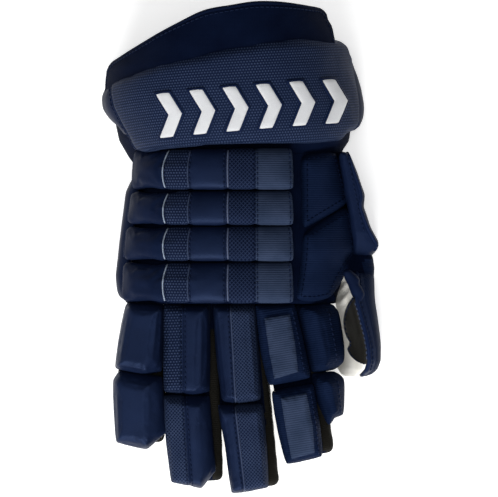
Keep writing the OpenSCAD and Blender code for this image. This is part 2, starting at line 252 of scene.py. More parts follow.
def inflate(verts, faces, pins, pressure, cap):
    """Cloth simulation with inner pressure, pinned by weight, no point moving more than cap."""
    mesh = bpy.data.meshes.new("cloth_tmp")
    mesh.from_pydata([tuple(v) for v in verts * CLOTH_SCALE], [], [list(f) for f in faces])
    mesh.update()
    obj = link_object("cloth_tmp", mesh)
    group = obj.vertex_groups.new(name="pin")
    for i, w in enumerate(pins):
        if w > 0.01:
            group.add([i], float(w), "REPLACE")
    modifier = obj.modifiers.new("cloth", "CLOTH")
    for key, value in CLOTH.items():
        setattr(modifier.settings, key, value)
    modifier.settings.uniform_pressure_force = pressure
    modifier.settings.effector_weights.gravity = 0
    modifier.collision_settings.use_collision = False
    modifier.collision_settings.use_self_collision = False
    modifier.point_cache.frame_start = 1
    modifier.point_cache.frame_end = CLOTH_FRAMES
    scene = bpy.context.scene
    for f in range(1, CLOTH_FRAMES + 1):
        scene.frame_set(f)
    evaluated = obj.evaluated_get(bpy.context.evaluated_depsgraph_get())
    moved = np.empty(len(verts) * 3)
    evaluated.data.vertices.foreach_get("co", moved)
    moved = moved.reshape(-1, 3) / CLOTH_SCALE
    bpy.data.objects.remove(obj)
    bpy.data.meshes.remove(mesh)
    scene.frame_set(1)
    shift = moved - verts
    size = np.linalg.norm(shift, axis=1)
    shift *= np.minimum(1, cap / np.maximum(size, 1e-9))[:, None]
    shift[~np.isfinite(shift).all(1)] = 0
    return verts + shift


def distance_to_path(points, path):
    """Plan distance from each point to a polyline."""
    best = np.full(len(points), 1e9)
    for a, b in zip(path[:-1], path[1:]):
        d = b - a
        t = np.clip(((points - a) @ d) / max(d @ d, 1e-9), 0, 1)
        best = np.minimum(best, np.linalg.norm(points - (a + t[:, None] * d), axis=1))
    return best


SEWN_HEIGHT = 4.0        # seams hold only the points of a pad that are this far over its floor
WRINKLE_SCALE = 0.055    # wrinkles to the millimetre
WRINKLE_FADE = 4.0       # height over which wrinkles and seams fade in, up from the floor


def remeshed(name, loops, voxel):
    """Points and even faces of the closed skin over some loops."""
    verts, faces = bridge([list(map(tuple, loop)) for loop in loops], True, True, True)
    rough = make_object(name + "_rough", verts, faces, [])
    modifier = rough.modifiers.new("remesh", "REMESH")
    modifier.mode = "VOXEL"
    modifier.voxel_size = voxel * MM
    evaluated = rough.evaluated_get(bpy.context.evaluated_depsgraph_get())
    mesh = evaluated.to_mesh()
    verts = np.array([v.co for v in mesh.vertices], float) / MM
    faces = [tuple(p.vertices) for p in mesh.polygons]
    evaluated.to_mesh_clear()
    data = rough.data
    bpy.data.objects.remove(rough)
    bpy.data.meshes.remove(data)
    return verts, faces


def wrinkles(points, seed):
    """Broad and fine noise at each point, about -1 to 1."""
    out = []
    for p in points:
        q = Vector(p) * WRINKLE_SCALE
        value = noise.noise(q + Vector((7, 3, seed))) * 0.8
        out.append(value + noise.noise(q * 2.7 + Vector((1, 9, 4))) * 0.3)
    return np.array(out)


class Pad:
    """A closed soft piece: built flat from loops, blown up a little, then laid on its surface.

    loops are closed rings of equal length, lowest first. seams are plan polylines that are sewn
    down. cuts are (point, direction) lines that part the faces of two materials, and zone(x, y)
    numbers the material. lay bends flat points on to the surface, and turn turns the weave.
    """

    def __init__(self, name, loops, voxel, materials, seams=(), seam_depth=1.2, seam_width=1.6,
                 pressure=3.0, cap=1.8, relaxing=2, cuts=(), zone=None, lay=None, turn=0.0,
                 wrinkle=0.25):
        verts, faces = remeshed(name, loops, voxel)
        verts = relax(verts, faces, relaxing)
        floor = verts[:, 2].min()
        pins = np.clip(1 - (verts[:, 2] - floor - 1) / 3, 0, 1)
        for seam in seams:
            near = distance_to_path(verts[:, :2], array_of(seam))
            upper = verts[:, 2] > floor + SEWN_HEIGHT
            pins = np.maximum(pins, np.where(upper, np.clip(1.6 - near / voxel, 0, 1), 0))
        verts = inflate(verts, faces, pins, pressure, cap)
        bm = bmesh.new()
        made = [bm.verts.new(v) for v in verts]
        for f in faces:
            bm.faces.new([made[i] for i in f])
        for point, along in cuts:
            bmesh.ops.bisect_plane(
                bm, geom=bm.verts[:] + bm.edges[:] + bm.faces[:], dist=0.05,
                plane_co=(point[0], point[1], 0), plane_no=(-along[1], along[0], 0))
        bm.normal_update()
        points = np.array([v.co for v in bm.verts])
        normals = np.array([v.normal for v in bm.verts])
        for seam in seams:
            near = distance_to_path(points[:, :2], array_of(seam))
            push = seam_depth * np.exp(-(near / seam_width) ** 2)
            push *= np.clip((points[:, 2] - floor - 1) / WRINKLE_FADE, 0, 1)
            points -= normals * push[:, None]
        fade = np.clip((points[:, 2] - floor - 1) / WRINKLE_FADE, 0, 1)
        points += normals * wrinkles(points, len(name))[:, None] * wrinkle * fade[:, None]
        for v, p in zip(bm.verts, points):
            v.co = p
        bm.normal_update()
        self.lay_on = lay or (lambda p: p)
        self.tree = BVHTree.FromBMesh(bm)
        uv = self.box_uv(bm, turn)
        zones = [zone(*f.calc_center_median()[:2]) if zone else 0 for f in bm.faces]
        for v, p in zip(bm.verts, self.lay_on(points)):
            v.co = p * MM
        mesh = bpy.data.meshes.new(name)
        bm.to_mesh(mesh)
        bm.free()
        for m in materials:
            mesh.materials.append(m)
        mesh.polygons.foreach_set("use_smooth", [True] * len(mesh.polygons))
        mesh.polygons.foreach_set("material_index", zones)
        put_uv(mesh, uv)
        self.obj = link_object(name, mesh)
        subdivide(self.obj)

    @staticmethod
    def box_uv(bm, turn):
        """Weave coordinates: from above on the upper faces, and folded down over the sides."""
        c, s = math.cos(turn), math.sin(turn)
        out = []
        for f in bm.faces:
            n = f.normal
            for loop in f.loops:
                p = loop.vert.co
                x, y = p.x * c + p.y * s, -p.x * s + p.y * c
                nx, ny = n.x * c + n.y * s, -n.x * s + n.y * c
                if abs(n.z) > 0.45:
                    out.append((x, y))
                elif abs(ny) > abs(nx):
                    out.append((x, y + math.copysign(p.z, -ny)))
                else:
                    out.append((x + math.copysign(p.z, -nx), y))
        return out

    def on(self, path, lift=0.0):
        """Plan points dropped on the pad's upper face and laid with it, and the way up at each."""
        flat = []
        for x, y in np.asarray(path, float)[:, :2]:
            hit = self.tree.ray_cast(Vector((x, y, 400)), Vector((0, 0, -1)))[0]
            if hit is not None:
                flat.append((x, y, hit.z))
        flat = np.array(flat)
        if len(flat) < 2:
            return np.zeros((0, 3)), np.zeros((0, 3))
        low, high = self.lay_on(flat), self.lay_on(flat + [0, 0, 1.0])
        up = unit(high - low)
        return low + up * lift, up


def tube(points, ups, radius, sides, flat=1.0):
    """Points and faces of a round or flattened cord along a path."""
    p = np.asarray(points, float)
    tangent = unit(np.gradient(p, axis=0))
    side = unit(np.cross(tangent, np.asarray(ups, float)))
    up = np.cross(side, tangent)
    rings = []
    for i in range(len(p)):
        ring = []
        for k in range(sides):
            a = 2 * math.pi * k / sides
            ring.append(p[i] + side[i] * math.cos(a) * radius
                        + up[i] * math.sin(a) * radius * flat)
        rings.append(ring)
    return bridge(rings, True, True, True)


STITCH_LENGTH = 2.4
STITCH_GAP = 1.3
STITCH_RADIUS = 0.42
STITCH_ARCH = (-0.35, 0.15, 0.28, 0.15, -0.35)    # height over the cloth along one stitch


class Sewing:
    """Gathers threads, piping and bindings that ride on one body into one piece per material."""

    def __init__(self, body):
        self.body = body
        self.parts = {}

    def add(self, material, verts, faces):
        all_verts, all_faces = self.parts.setdefault(material.name, ([], []))
        start = len(all_verts)
        all_verts += list(verts)
        all_faces += [tuple(i + start for i in f) for f in faces]

    def cord(self, material, points, ups, radius, flat=0.8):
        if len(points) > 1:
            self.add(material, *tube(points, ups, radius, 8, flat))

    def stitches(self, material, points, ups):
        """Short threads along a path, each a little arched, with its ends sunk in the cloth."""
        p = np.asarray(points, float)
        if len(p) < 2:
            return
        run = running_length(p)
        at = STITCH_GAP / 2
        while at + STITCH_LENGTH < run[-1]:
            s = np.linspace(at, at + STITCH_LENGTH, len(STITCH_ARCH))
            line = np.stack([np.interp(s, run, p[:, k]) for k in range(3)], 1)
            up = np.stack([np.interp(s, run, ups[:, k]) for k in range(3)], 1)
            line = line + up * np.array(STITCH_ARCH)[:, None]
            self.add(material, *tube(line, up, STITCH_RADIUS, 6))
            at += STITCH_LENGTH + STITCH_GAP * (0.9 + 0.2 * shuffle.random())

    def finish(self, prefix):
        """Makes one piece of each material's threads."""
        for material_name, (verts, faces) in self.parts.items():
            obj = make_object(f"{prefix}_{material_name}", verts, faces,
                              [bpy.data.materials[material_name]])
            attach(obj, self.body)


# ---------------------------------------------------------------- materials

class Nodes:
    """Short names for building a material's node tree."""

    def __init__(self, name):
        self.material = bpy.data.materials.new(name)
        self.material.use_nodes = True
        self.tree = self.material.node_tree
        self.shader = self.tree.nodes["Principled BSDF"]

    def node(self, kind, **values):
        n = self.tree.nodes.new(kind)
        for key, value in values.items():
            if hasattr(n, key) and key not in n.inputs:
                setattr(n, key, value)
            else:
                n.inputs[key].default_value = value
        return n

    def link(self, a, b):
        self.tree.links.new(a, b)

    def math(self, operation, a, b=None, c=None):
        n = self.tree.nodes.new("ShaderNodeMath")
        n.operation = operation
        for i, value in enumerate((a, b, c)):
            if value is None:
                continue
            if isinstance(value, (int, float)):
                n.inputs[i].default_value = value
            else:
                self.link(value, n.inputs[i])
        return n.outputs[0]

    def place_by(self, source, scale, turn=0.0):
        """Lays the patterns out by a coordinate, scaled and turned."""
        mapping = self.node("ShaderNodeMapping")
        mapping.inputs["Rotation"].default_value = (0, 0, turn)
        mapping.inputs["Scale"].default_value = (scale, scale, scale)
        self.link(source, mapping.inputs[0])
        self.place = mapping.outputs[0]

    def object_place(self, scale):
        self.place_by(self.node("ShaderNodeTexCoord").outputs["Object"], scale)

    def uv(self, turn=0.0):
        """U and V in millimetres along the cloth, turned by an angle."""
        self.place_by(self.node("ShaderNodeUVMap", uv_map="cloth").outputs[0], 100, turn)
        split = self.node("ShaderNodeSeparateXYZ")
        self.link(self.place, split.inputs[0])
        return split.outputs[0], split.outputs[1]

    def wave(self, coordinate, pitch):
        """A sine from 0 to 1 with the given pitch."""
        turned = self.math("MULTIPLY", coordinate, 2 * math.pi / pitch)
        return self.math("MULTIPLY_ADD", self.math("SINE", turned), 0.5, 0.5)

    def noise(self, scale, detail=4.0, roughness=0.55):
        n = self.node("ShaderNodeTexNoise")
        n.inputs["Scale"].default_value = scale
        n.inputs["Detail"].default_value = detail
        n.inputs["Roughness"].default_value = roughness
        self.link(self.place, n.inputs["Vector"])
        return n.outputs["Fac"]

    def cells(self, scale, feature="F1"):
        n = self.node("ShaderNodeTexVoronoi", feature=feature)
        n.inputs["Scale"].default_value = scale
        self.link(self.place, n.inputs["Vector"])
        return n.outputs["Distance"]

    def ramp(self, value, low, high, new_low, new_high):
        n = self.node("ShaderNodeMapRange")
        for i, x in enumerate((low, high, new_low, new_high), 1):
            n.inputs[i].default_value = x
        self.link(value, n.inputs[0])
        return n.outputs[0]

    def mix(self, fac, a, b):
        n = self.node("ShaderNodeMix", data_type="RGBA")
        self.link(fac, n.inputs[0])
        for i, colour in ((6, a), (7, b)):
            if isinstance(colour, tuple):
                n.inputs[i].default_value = (*colour, 1)
            else:
                self.link(colour, n.inputs[i])
        return n.outputs[2]

    def add(self, a, b, share=1.0):
        """One pattern and a share of another."""
        return self.math("ADD", a, self.math("MULTIPLY", b, share))

    def patches(self, scale, dark, light):
        """Broad soft patches of two colours."""
        return self.mix(self.ramp(self.noise(scale, 3), 0.3, 0.7, 0, 1), dark, light)

    def pale_highlight(self, colour, amount, lighter):
        """Lightens the outward edges: partly rubbing, partly a painted ridge highlight."""
        geometry = self.node("ShaderNodeNewGeometry")
        edge = self.ramp(geometry.outputs["Pointiness"], 0.51, 0.6, 0.0, amount)
        return self.mix(edge, colour, lighter)

    def finish(self, colour, roughness, height, distance, sheen=0.0, specular=0.5, tint=None):
        """Joins the shader's inputs up. distance is the relief's depth in metres."""
        self.link(colour, self.shader.inputs["Base Color"])
        if isinstance(roughness, float):
            self.shader.inputs["Roughness"].default_value = roughness
        else:
            self.link(roughness, self.shader.inputs["Roughness"])
        self.shader.inputs["Specular IOR Level"].default_value = specular
        self.shader.inputs["Sheen Weight"].default_value = sheen
        self.shader.inputs["Sheen Roughness"].default_value = 0.45
        if tint:
            self.shader.inputs["Specular Tint"].default_value = (*tint, 1)
        bump = self.node("ShaderNodeBump")
        bump.inputs["Strength"].default_value = 1.0
        bump.inputs["Distance"].default_value = distance
        self.link(height, bump.inputs["Height"])
        self.link(bump.outputs[0], self.shader.inputs["Normal"])
        return self.material


NAVY = (0.0038, 0.0082, 0.028)
NAVY_DEEP = (0.002, 0.0044, 0.0165)
NAVY_PALE = (0.012, 0.02, 0.05)
BLUE_SHINE = (0.3, 0.46, 0.95)


def leather_material(name, shine, wear_and_highlight):
    """Smooth synthetic leather with a fine grain and paler edges, partly rubbed and partly a painted
    ridge highlight.
    """
    n = Nodes(name)
    n.uv()
    grain = n.cells(1.15, "SMOOTH_F1")
    fine = n.noise(2.6, 5)
    broad = n.noise(0.045, 3)
    height = n.add(n.math("MULTIPLY", grain, 0.8), fine, 0.6)
    tone = n.mix(n.ramp(broad, 0.3, 0.7, 0, 1), NAVY_DEEP, NAVY)
    tone = n.mix(n.ramp(fine, 0.35, 0.8, 0, 0.35), tone, NAVY_PALE)
    # Paler outward edges: partly rubbing, partly a painted ridge highlight.
    tone = n.pale_highlight(tone, wear_and_highlight, (0.026, 0.038, 0.078))
    rough = n.ramp(n.math("ADD", fine, broad), 0.6, 1.4, 0.44, 0.6)
    return n.finish(tone, rough, height, 0.00012, 0.0, shine, BLUE_SHINE)


def net_material(name, across, along, dark, light, lattice=False):
    """Net with diagonal threads round diamond holes, or else with rows of raised knots."""
    n = Nodes(name)
    u, v = n.uv()
    u, v = n.math("DIVIDE", u, across), n.math("DIVIDE", v, along)

    def from_middle(value):
        return n.math("ABSOLUTE", n.math("SUBTRACT", n.math("FRACT", value), 0.5))
    if lattice:
        near = n.math("MAXIMUM", from_middle(n.math("ADD", u, v)),
                      from_middle(n.math("SUBTRACT", u, v)))
        thread = n.ramp(near, 0.26, 0.42, 0, 1)
    else:
        x = from_middle(n.math("ADD", u, n.math("MULTIPLY", n.math("FLOOR", v), 0.5)))
        y = from_middle(v)
        gap = n.math("SQRT", n.math("ADD", n.math("POWER", n.math("MULTIPLY", x, 2.3), 2),
                                    n.math("POWER", n.math("MULTIPLY", y, 2.5), 2)))
        thread = n.ramp(gap, 0.5, 0.95, 1, 0)
    fibre = n.noise(6.0, 4)
    broad = n.noise(0.05, 3)
    height = n.add(thread, fibre, 0.25)
    lit = n.mix(n.ramp(broad, 0.3, 0.7, 0, 0.35), light, dark)
    tone = n.mix(thread, dark, lit)
    tone = n.mix(n.ramp(fibre, 0.4, 0.9, 0, 0.3), tone, light)
    return n.finish(tone, n.ramp(fibre, 0.2, 0.8, 0.5, 0.7), height, 0.0004, 0.0, 0.07, BLUE_SHINE)


def ribbed_material(name, dark, light):
    """Finely ribbed microfibre."""
    n = Nodes(name)
    _, v = n.uv()
    rib = n.wave(n.add(v, n.noise(0.5, 2), 0.5), 1.6)
    fibre = n.noise(5.0, 5)
    height = n.add(n.math("POWER", rib, 0.7), fibre, 0.35)
    tone = n.patches(0.06, dark, light)
    tone = n.mix(n.ramp(rib, 0.0, 0.5, 0.45, 0.0), tone, NAVY_DEEP)
    tone = n.mix(n.ramp(fibre, 0.45, 0.85, 0, 0.4), tone, light)
    return n.finish(tone, n.ramp(fibre, 0.2, 0.8, 0.6, 0.8), height, 0.00016, 0.0, 0.08,
                    BLUE_SHINE)


def lining_material():
    n = Nodes("lining")
    u, v = n.uv()
    knit = n.math("MULTIPLY", n.wave(u, 1.3), n.wave(v, 0.9))
    fluff = n.noise(3.5, 6, 0.7)
    height = n.add(fluff, knit, 0.6)
    tone = n.patches(0.04, (0.0012, 0.0026, 0.0105), (0.0022, 0.0048, 0.017))
    tone = n.mix(n.ramp(fluff, 0.5, 0.85, 0, 0.25), tone, NAVY_PALE)
    return n.finish(tone, n.ramp(fluff, 0.3, 0.8, 0.75, 0.95), height, 0.00025,
                    0.0, 0.05, BLUE_SHINE)


def suede_material():
    n = Nodes("palm_suede")
    n.uv()
    nap = n.noise(3.0, 7, 0.7)
    pores = n.cells(0.9)
    smudge = n.noise(0.06, 5, 0.6)
    height = n.add(nap, pores, 0.4)
    tone = n.mix(n.ramp(smudge, 0.35, 0.7, 0, 1), (0.9, 0.885, 0.83), (0.82, 0.795, 0.72))
    tone = n.mix(n.ramp(nap, 0.55, 0.85, 0, 0.3), tone, (0.56, 0.53, 0.46))
    return n.finish(tone, n.ramp(nap, 0.3, 0.8, 0.75, 0.92), height, 0.00022, 0.05, 0.2)


def gusset_material():
    n = Nodes("gusset_mesh")
    u, v = n.uv()
    knit = n.math("MULTIPLY", n.wave(u, 1.0), n.wave(v, 1.4))
    fibre = n.noise(4.0, 5)
    height = n.add(knit, fibre, 0.5)
    tone = n.patches(0.06, (0.0055, 0.005, 0.0036), (0.0095, 0.0085, 0.006))
    tone = n.mix(n.ramp(knit, 0.5, 1.0, 0, 0.4), tone, (0.016, 0.0145, 0.011))
    return n.finish(tone, n.ramp(fibre, 0.3, 0.8, 0.65, 0.85), height, 0.0003, 0.0, 0.12)


def grip_material():
    n = Nodes("grip")
    u, v = n.uv(0.785)
    dimple = n.math("MULTIPLY", n.wave(u, 1.6), n.wave(v, 1.6))
    fine = n.noise(3.0, 4)
    tone = n.mix(n.ramp(fine, 0.3, 0.8, 0, 1), (0.006, 0.0056, 0.0045), (0.011, 0.0102, 0.008))
    height = n.add(dimple, fine, 0.4)
    return n.finish(tone, n.ramp(fine, 0.3, 0.8, 0.5, 0.7), height, 0.0002, 0.0, 0.2)


def embroidery_material():
    n = Nodes("embroidery")
    _, v = n.uv()
    thread = n.wave(n.add(v, n.noise(0.9, 2), 0.35), 0.62)
    fine = n.noise(6.0, 3)
    tone = n.mix(n.ramp(thread, 0.0, 1.0, 0.0, 1.0), (0.52, 0.53, 0.56), (0.86, 0.87, 0.88))
    tone = n.mix(n.ramp(fine, 0.5, 0.8, 0, 0.25), tone, (0.6, 0.61, 0.64))
    height = n.add(thread, fine, 0.2)
    return n.finish(tone, n.ramp(fine, 0.3, 0.7, 0.38, 0.55), height, 0.00025, 0.3, 0.5)


def thread_material(name, dark, light, rough=0.5):
    n = Nodes(name)
    n.object_place(1000)
    ply = n.noise(1.6, 3)
    tone = n.mix(n.ramp(ply, 0.35, 0.7, 0, 1), dark, light)
    return n.finish(tone, n.ramp(ply, 0.3, 0.7, rough - 0.08, rough + 0.1), ply, 0.0002,
                    0.0, 0.06, BLUE_SHINE)


def floor_material():
    n = Nodes("floor_paper")
    n.object_place(60)
    fibre = n.noise(8.0, 5)
    tone = n.mix(n.ramp(fibre, 0.3, 0.7, 0, 1), (0.93, 0.93, 0.93), (0.96, 0.96, 0.96))
    n.shader.inputs["Emission Color"].default_value = (1, 1, 1, 1)
    n.shader.inputs["Emission Strength"].default_value = 0.5
    return n.finish(tone, 0.85, fibre, 0.00005, 0.0, 0.2)


# The edge lightening is strong on this leather, a painted ridge highlight, and slight on the dull
# leather.
LEATHER = leather_material("navy_leather", 0.24, 0.8)
DULL_LEATHER = leather_material("dull_leather", 0.07, 0.15)
CUFF_NET = net_material("navy_mesh", 2.1, 1.9, (0.0028, 0.0066, 0.023), (0.034, 0.05, 0.1))
ROLL_NET = net_material("roll_mesh", 2.8, 3.0, (0.0018, 0.0042, 0.016), (0.02, 0.031, 0.07), True)
ROW_NET = net_material("row_mesh", 2.2, 2.0, (0.0026, 0.006, 0.021), (0.036, 0.052, 0.104))
FINGER_NET = net_material("finger_mesh", 2.5, 2.7, (0.0034, 0.0075, 0.025), (0.032, 0.047, 0.094),
                          True)
RIBBED = ribbed_material("navy_microfibre", (0.0028, 0.0066, 0.022), (0.005, 0.0105, 0.032))
# A paler copy of the ribbed microfibre, a painted highlight, for the index pads' tops and the rolls'
# thumb ends.
RIBBED_HIGHLIT = ribbed_material("highlit_microfibre", (0.02, 0.031, 0.06), (0.033, 0.047, 0.087))
LINING = lining_material()
SUEDE = suede_material()
GUSSET = gusset_material()
GRIP = grip_material()
EMBROIDERY = embroidery_material()
THREAD = thread_material("navy_thread", (0.004, 0.008, 0.026), (0.011, 0.018, 0.046))
PIPING = thread_material("pale_piping", (0.17, 0.215, 0.29), (0.32, 0.37, 0.45), 0.4)
DIM_PIPING = thread_material("dim_piping", (0.022, 0.032, 0.065), (0.05, 0.066, 0.12), 0.4)
BINDING = thread_material("navy_binding", (0.0035, 0.0075, 0.027), (0.0075, 0.014, 0.042), 0.42)
MID_PIPING = thread_material("mid_piping", (0.055, 0.072, 0.125), (0.11, 0.13, 0.2), 0.4)
RIM_BINDING = thread_material("rim_binding", (0.0016, 0.0036, 0.0135), (0.003, 0.0065, 0.022), 0.7)


# ---------------------------------------------------------------- surfaces that pieces lie on

class ArchSurface:
    """The arched back of the glove, unrolled. stations are (y, low X, high X, top Z), Y rising.

    Flat points are (length along the arch from its crest, Y, height over the surface).
    """

    def __init__(self, stations):
        self.y = np.array([s[0] for s in stations], float)
        self.curves = [arch_curve(*s[1:]) for s in stations]
        self.runs = []
        for curve in self.curves:
            run = running_length(curve)
            self.runs.append(run - np.interp(CREST_X, curve[:, 0], run))

    def weights(self, y):
        return [np.interp(y, self.y, np.eye(len(self.y))[k]) for k in range(len(self.y))]

    def at(self, u, y):
        x = z = 0
        for w, run, curve in zip(self.weights(y), self.runs, self.curves):
            x = x + w * np.interp(u, run, curve[:, 0])
            z = z + w * np.interp(u, run, curve[:, 1])
        return x, z

    def lay(self, points):
        u, y, h = points[:, 0], points[:, 1], points[:, 2]
        x, z = self.at(u, y)
        x1, z1 = self.at(u - 1.5, y)
        x2, z2 = self.at(u + 1.5, y)
        dx, dz = x2 - x1, z2 - z1
        size = np.maximum(np.hypot(dx, dz), 1e-6)
        return np.stack([x - dz / size * h, y, z + dx / size * h], 1)

    def flat_x(self, x, y):
        """Length along the arch to a plan X."""
        return float(sum(w * np.interp(x, curve[:, 0], run) for w, run, curve
                         in zip(self.weights(y), self.runs, self.curves)))

    def flat_z(self, z, y, side):
        """Length along the arch to a height on its low (-1) or high (+1) side."""
        total = 0
        for w, run, curve in zip(self.weights(y), self.runs, self.curves):
            top = int(np.argmax(curve[:, 1]))
            part = slice(0, top + 1) if side < 0 else slice(len(curve) - 1, top - 1, -1)
            total += w * np.interp(z, curve[part, 1], run[part])
        return float(total)


def rounded_box(low_u, high_u, low_y, high_y, radius):
    corners = [(low_u, low_y), (high_u, low_y), (high_u, high_y), (low_u, high_y)]
    return round_outline(corners, radius)


def split_sides(ring):
    """A rounded box, whose corners have five points each, with 14 parts to each straight side."""
    out = []
    for i in range(len(ring)):
        a, b = ring[i], ring[(i + 1) % len(ring)]
        count = 14 if i % 5 == 4 else 1
        out += [a + (b - a) * k / count for k in range(count)]
    return np.array(out)


def with_height(outline, height):
    height = np.broadcast_to(np.asarray(height, float), (len(outline),))
    return np.column_stack([outline, height])


RING_STEP = 6.0    # distance between the points of a finger pad's rings


def between(base, plateau, levels, drops):
    """Rings that climb from a base outline to a plateau outline with the same corners.

    levels are (share of the way, height), and drops lower the rings at each corner by share.
    """
    a, b, c = array_of(base), array_of(plateau), np.array(drops, float)
    low, high, fall = [], [], []
    for i in range(len(a)):
        j = (i + 1) % len(a)
        count = max(1, int(round(np.linalg.norm(a[j] - a[i]) / RING_STEP)))
        for k in range(count):
            low.append(a[i] + (a[j] - a[i]) * k / count)
            high.append(b[i] + (b[j] - b[i]) * k / count)
            fall.append(c[i] + (c[j] - c[i]) * k / count)
    low, high, fall = np.array(low), np.array(high), np.array(fall)
    return [with_height(low + (high - low) * t, z - fall * t) for t, z in levels]


def right_of(line):
    """A zone function: 1 on the thumb side of a line, 0 on the other."""
    return lambda x, y: int(x > seam_x(line, y))


def within(outline):
    """A zone function: 1 inside a plan outline, 0 outside."""
    corners = [tuple(p) for p in array_of(outline)]

    def zone(x, y):
        inside = False
        for (x1, y1), (x2, y2) in zip(corners, corners[1:] + corners[:1]):
            if (y1 > y) != (y2 > y) and x < x1 + (y - y1) * (x2 - x1) / (y2 - y1):
                inside = not inside
        return int(inside)
    return zone


def ring_stack(outline, rings):
    """Loops of an outline drawn in by the first number of each ring, at the height of its second."""
    return [with_height(inset_outline(outline, inset), height) for inset, height in rings]


def seam_x(line, y):
    """X of a straight seam at a Y."""
    (x0, y0), (x1, y1) = line
    return x0 + (x1 - x0) * (y - y0) / (y1 - y0)


def cut_along(line):
    (x0, y0), (x1, y1) = line
    return (x0, y0), Vector((x1 - x0, y1 - y0)).normalized()


def cut_size(outline):
    """Width, length and area, in metres, of a piece of cloth cut to an outline."""
    p = array_of(outline)
    return tuple(float(x) for x in np.ptp(p, axis=0) * MM), float(abs(signed_area(p)) * MM * MM)


def stands_for(piece, body, slot, *nodes):
    """Finishes a piece: its body and the CAD nodes it is shown for; its material slot is not used."""
    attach(piece, body)
    if nodes:
        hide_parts(*nodes)
    return piece


hand_sewing = Sewing("hand")
cuff_sewing = Sewing("cuff")
thumb_sewing = Sewing("thumb")


# ---------------------------------------------------------------- the rolls on the back of the hand

ROLL_EDGES = (73.3, 42.5, 17, -9, -39.3)
ROLL_LEFT = (-77.5, -80, -84, -87.5, -89)
ROLL_END_X = 38.5   # the rolls' thumb ends, from above
ROLL_END_Z = 31.5   # height of the rolls' little finger ends
ROLL_TOP = 73.5     # height of the first roll, and each next one is 2 mm lower
BACK_RIGHT_X = 94   # X at which the rolls' arch would reach the resting plane
ROLL_SWELL = 5.0    # how much the rolls thicken over their little finger ends
ROLL_SINK = 5.0     # how far each roll's wrist edge lies below the lip of the roll before it
ROLL_COLUMNS = (-57.0, -39.5, -10.5, 10.0)    # X of the seams that part a roll's five columns


def roll_surface(n):
    return ArchSurface([(ROLL_EDGES[k], ROLL_LEFT[k] - 5, BACK_RIGHT_X, ROLL_TOP - 2 * n)
                        for k in (n + 1, n)])


def smooth_run(pad, path, lift):
    """A path laid on a pad, with its X evened out to a single bow."""
    path = np.array([p for p in path if len(pad.on([p, p])[0]) == 2])
    for _ in range(2):
        points, _ = pad.on(path, lift)
        even = np.polyval(np.polyfit(points[:, 1], points[:, 0], 2), points[:, 1])
        path = path + np.column_stack([even - points[:, 0], 0 * even])
    return pad.on(path, lift)


def build_roll(n):
    """One of the four rolls, n from 0 at the wrist, with its seams, piping and stitches."""
    surface = roll_surface(n)
    high, low = ROLL_EDGES[n] - 0.3, ROLL_EDGES[n + 1] + 0.3
    middle = (high + low) / 2
    left = surface.flat_z(ROLL_END_Z, middle, -1)
    right = surface.flat_x(ROLL_END_X, middle)
    seams_u = [surface.flat_x(x, middle) for x in ROLL_COLUMNS]
    # inset and height of each ring, the lowest of them at the roll's foot
    levels = ((2.5, -99), (0.5, -12), (0.0, -7), (0.2, -4.2), (1.2, -1.8), (3.2, -0.5), (6.5, 0),
              (11, 0.3), (12, 0.4))
    loops = []
    for inset, height in levels:
        ring = split_sides(rounded_box(left + inset, right - inset, low + inset, high - inset, 1.8))
        depth = np.interp(ring[:, 0], (left, right), (-7.5, -15))
        sink = ROLL_SINK * np.clip((ring[:, 1] - low - 4) / (high - low - 4), 0, 1) ** 1.7
        sink *= np.clip((ring[:, 0] - left) / 36, 0.12, 1)
        swell = ROLL_SWELL * np.clip((left + 24 - ring[:, 0]) / 24, 0, 1) ** 1.5
        loops.append(with_height(ring, np.maximum(height - sink + swell, depth)))
    seams = [[(u, low), (u, high)] for u in seams_u]
    # The rolls' ribbed thumb ends take the paler microfibre, a painted highlight.
    pad = Pad(f"roll_{n + 1}", loops, 2.0,
              [DULL_LEATHER, ROLL_NET, ROW_NET, RIBBED_HIGHLIT, LEATHER], seams,
              seam_depth=0.8, seam_width=1.6, pressure=4, cap=1.3,
              cuts=[((u, 0), (0, 1)) for u in seams_u],
              zone=lambda x, y: (0, 2, 4, 1, 3)[sum(x > u for u in seams_u)],
              lay=surface.lay, wrinkle=0.35)
    stands_for(pad.obj, "hand", "navy_leather", f"roll_{n + 1}_cover", f"roll_{n + 1}_foam")

    ys = np.linspace(low + 0.6, high - 0.6, 26)
    bow = 1 - ((ys - middle) / (middle - low)) ** 2

    def line(u, shift=0.0, bowed=0.0):
        return np.column_stack([u + shift - bow * bowed, ys])
    for u, bowed, material, radius in zip(seams_u, (1.0, 0.4, 0.5), (PIPING, DIM_PIPING, MID_PIPING),
                                          (0.55, 0.55, 0.6)):
        hand_sewing.cord(material, *smooth_run(pad, line(u, 0.4, bowed), 0.25), radius)
    for u, shift, bowed in ((seams_u[0], 2.0, 1), (seams_u[1], 2.0, 0.5), (seams_u[2], -2.2, 0.6),
                            (seams_u[3], -1.0, 0.3), (seams_u[3], 1.4, 0.3)):
        hand_sewing.stitches(THREAD, *pad.on(line(u, shift, bowed), 0.15))
    hand_sewing.stitches(THREAD, *pad.on(line(right, -3.4), 0.1))
    edge = np.column_stack([np.full(14, left + 1.4), np.linspace(low + 3, high - 3, 14)])
    hand_sewing.cord(BINDING, *pad.on(edge, 0.2), 0.8)


for number in range(4):
    build_roll(number)


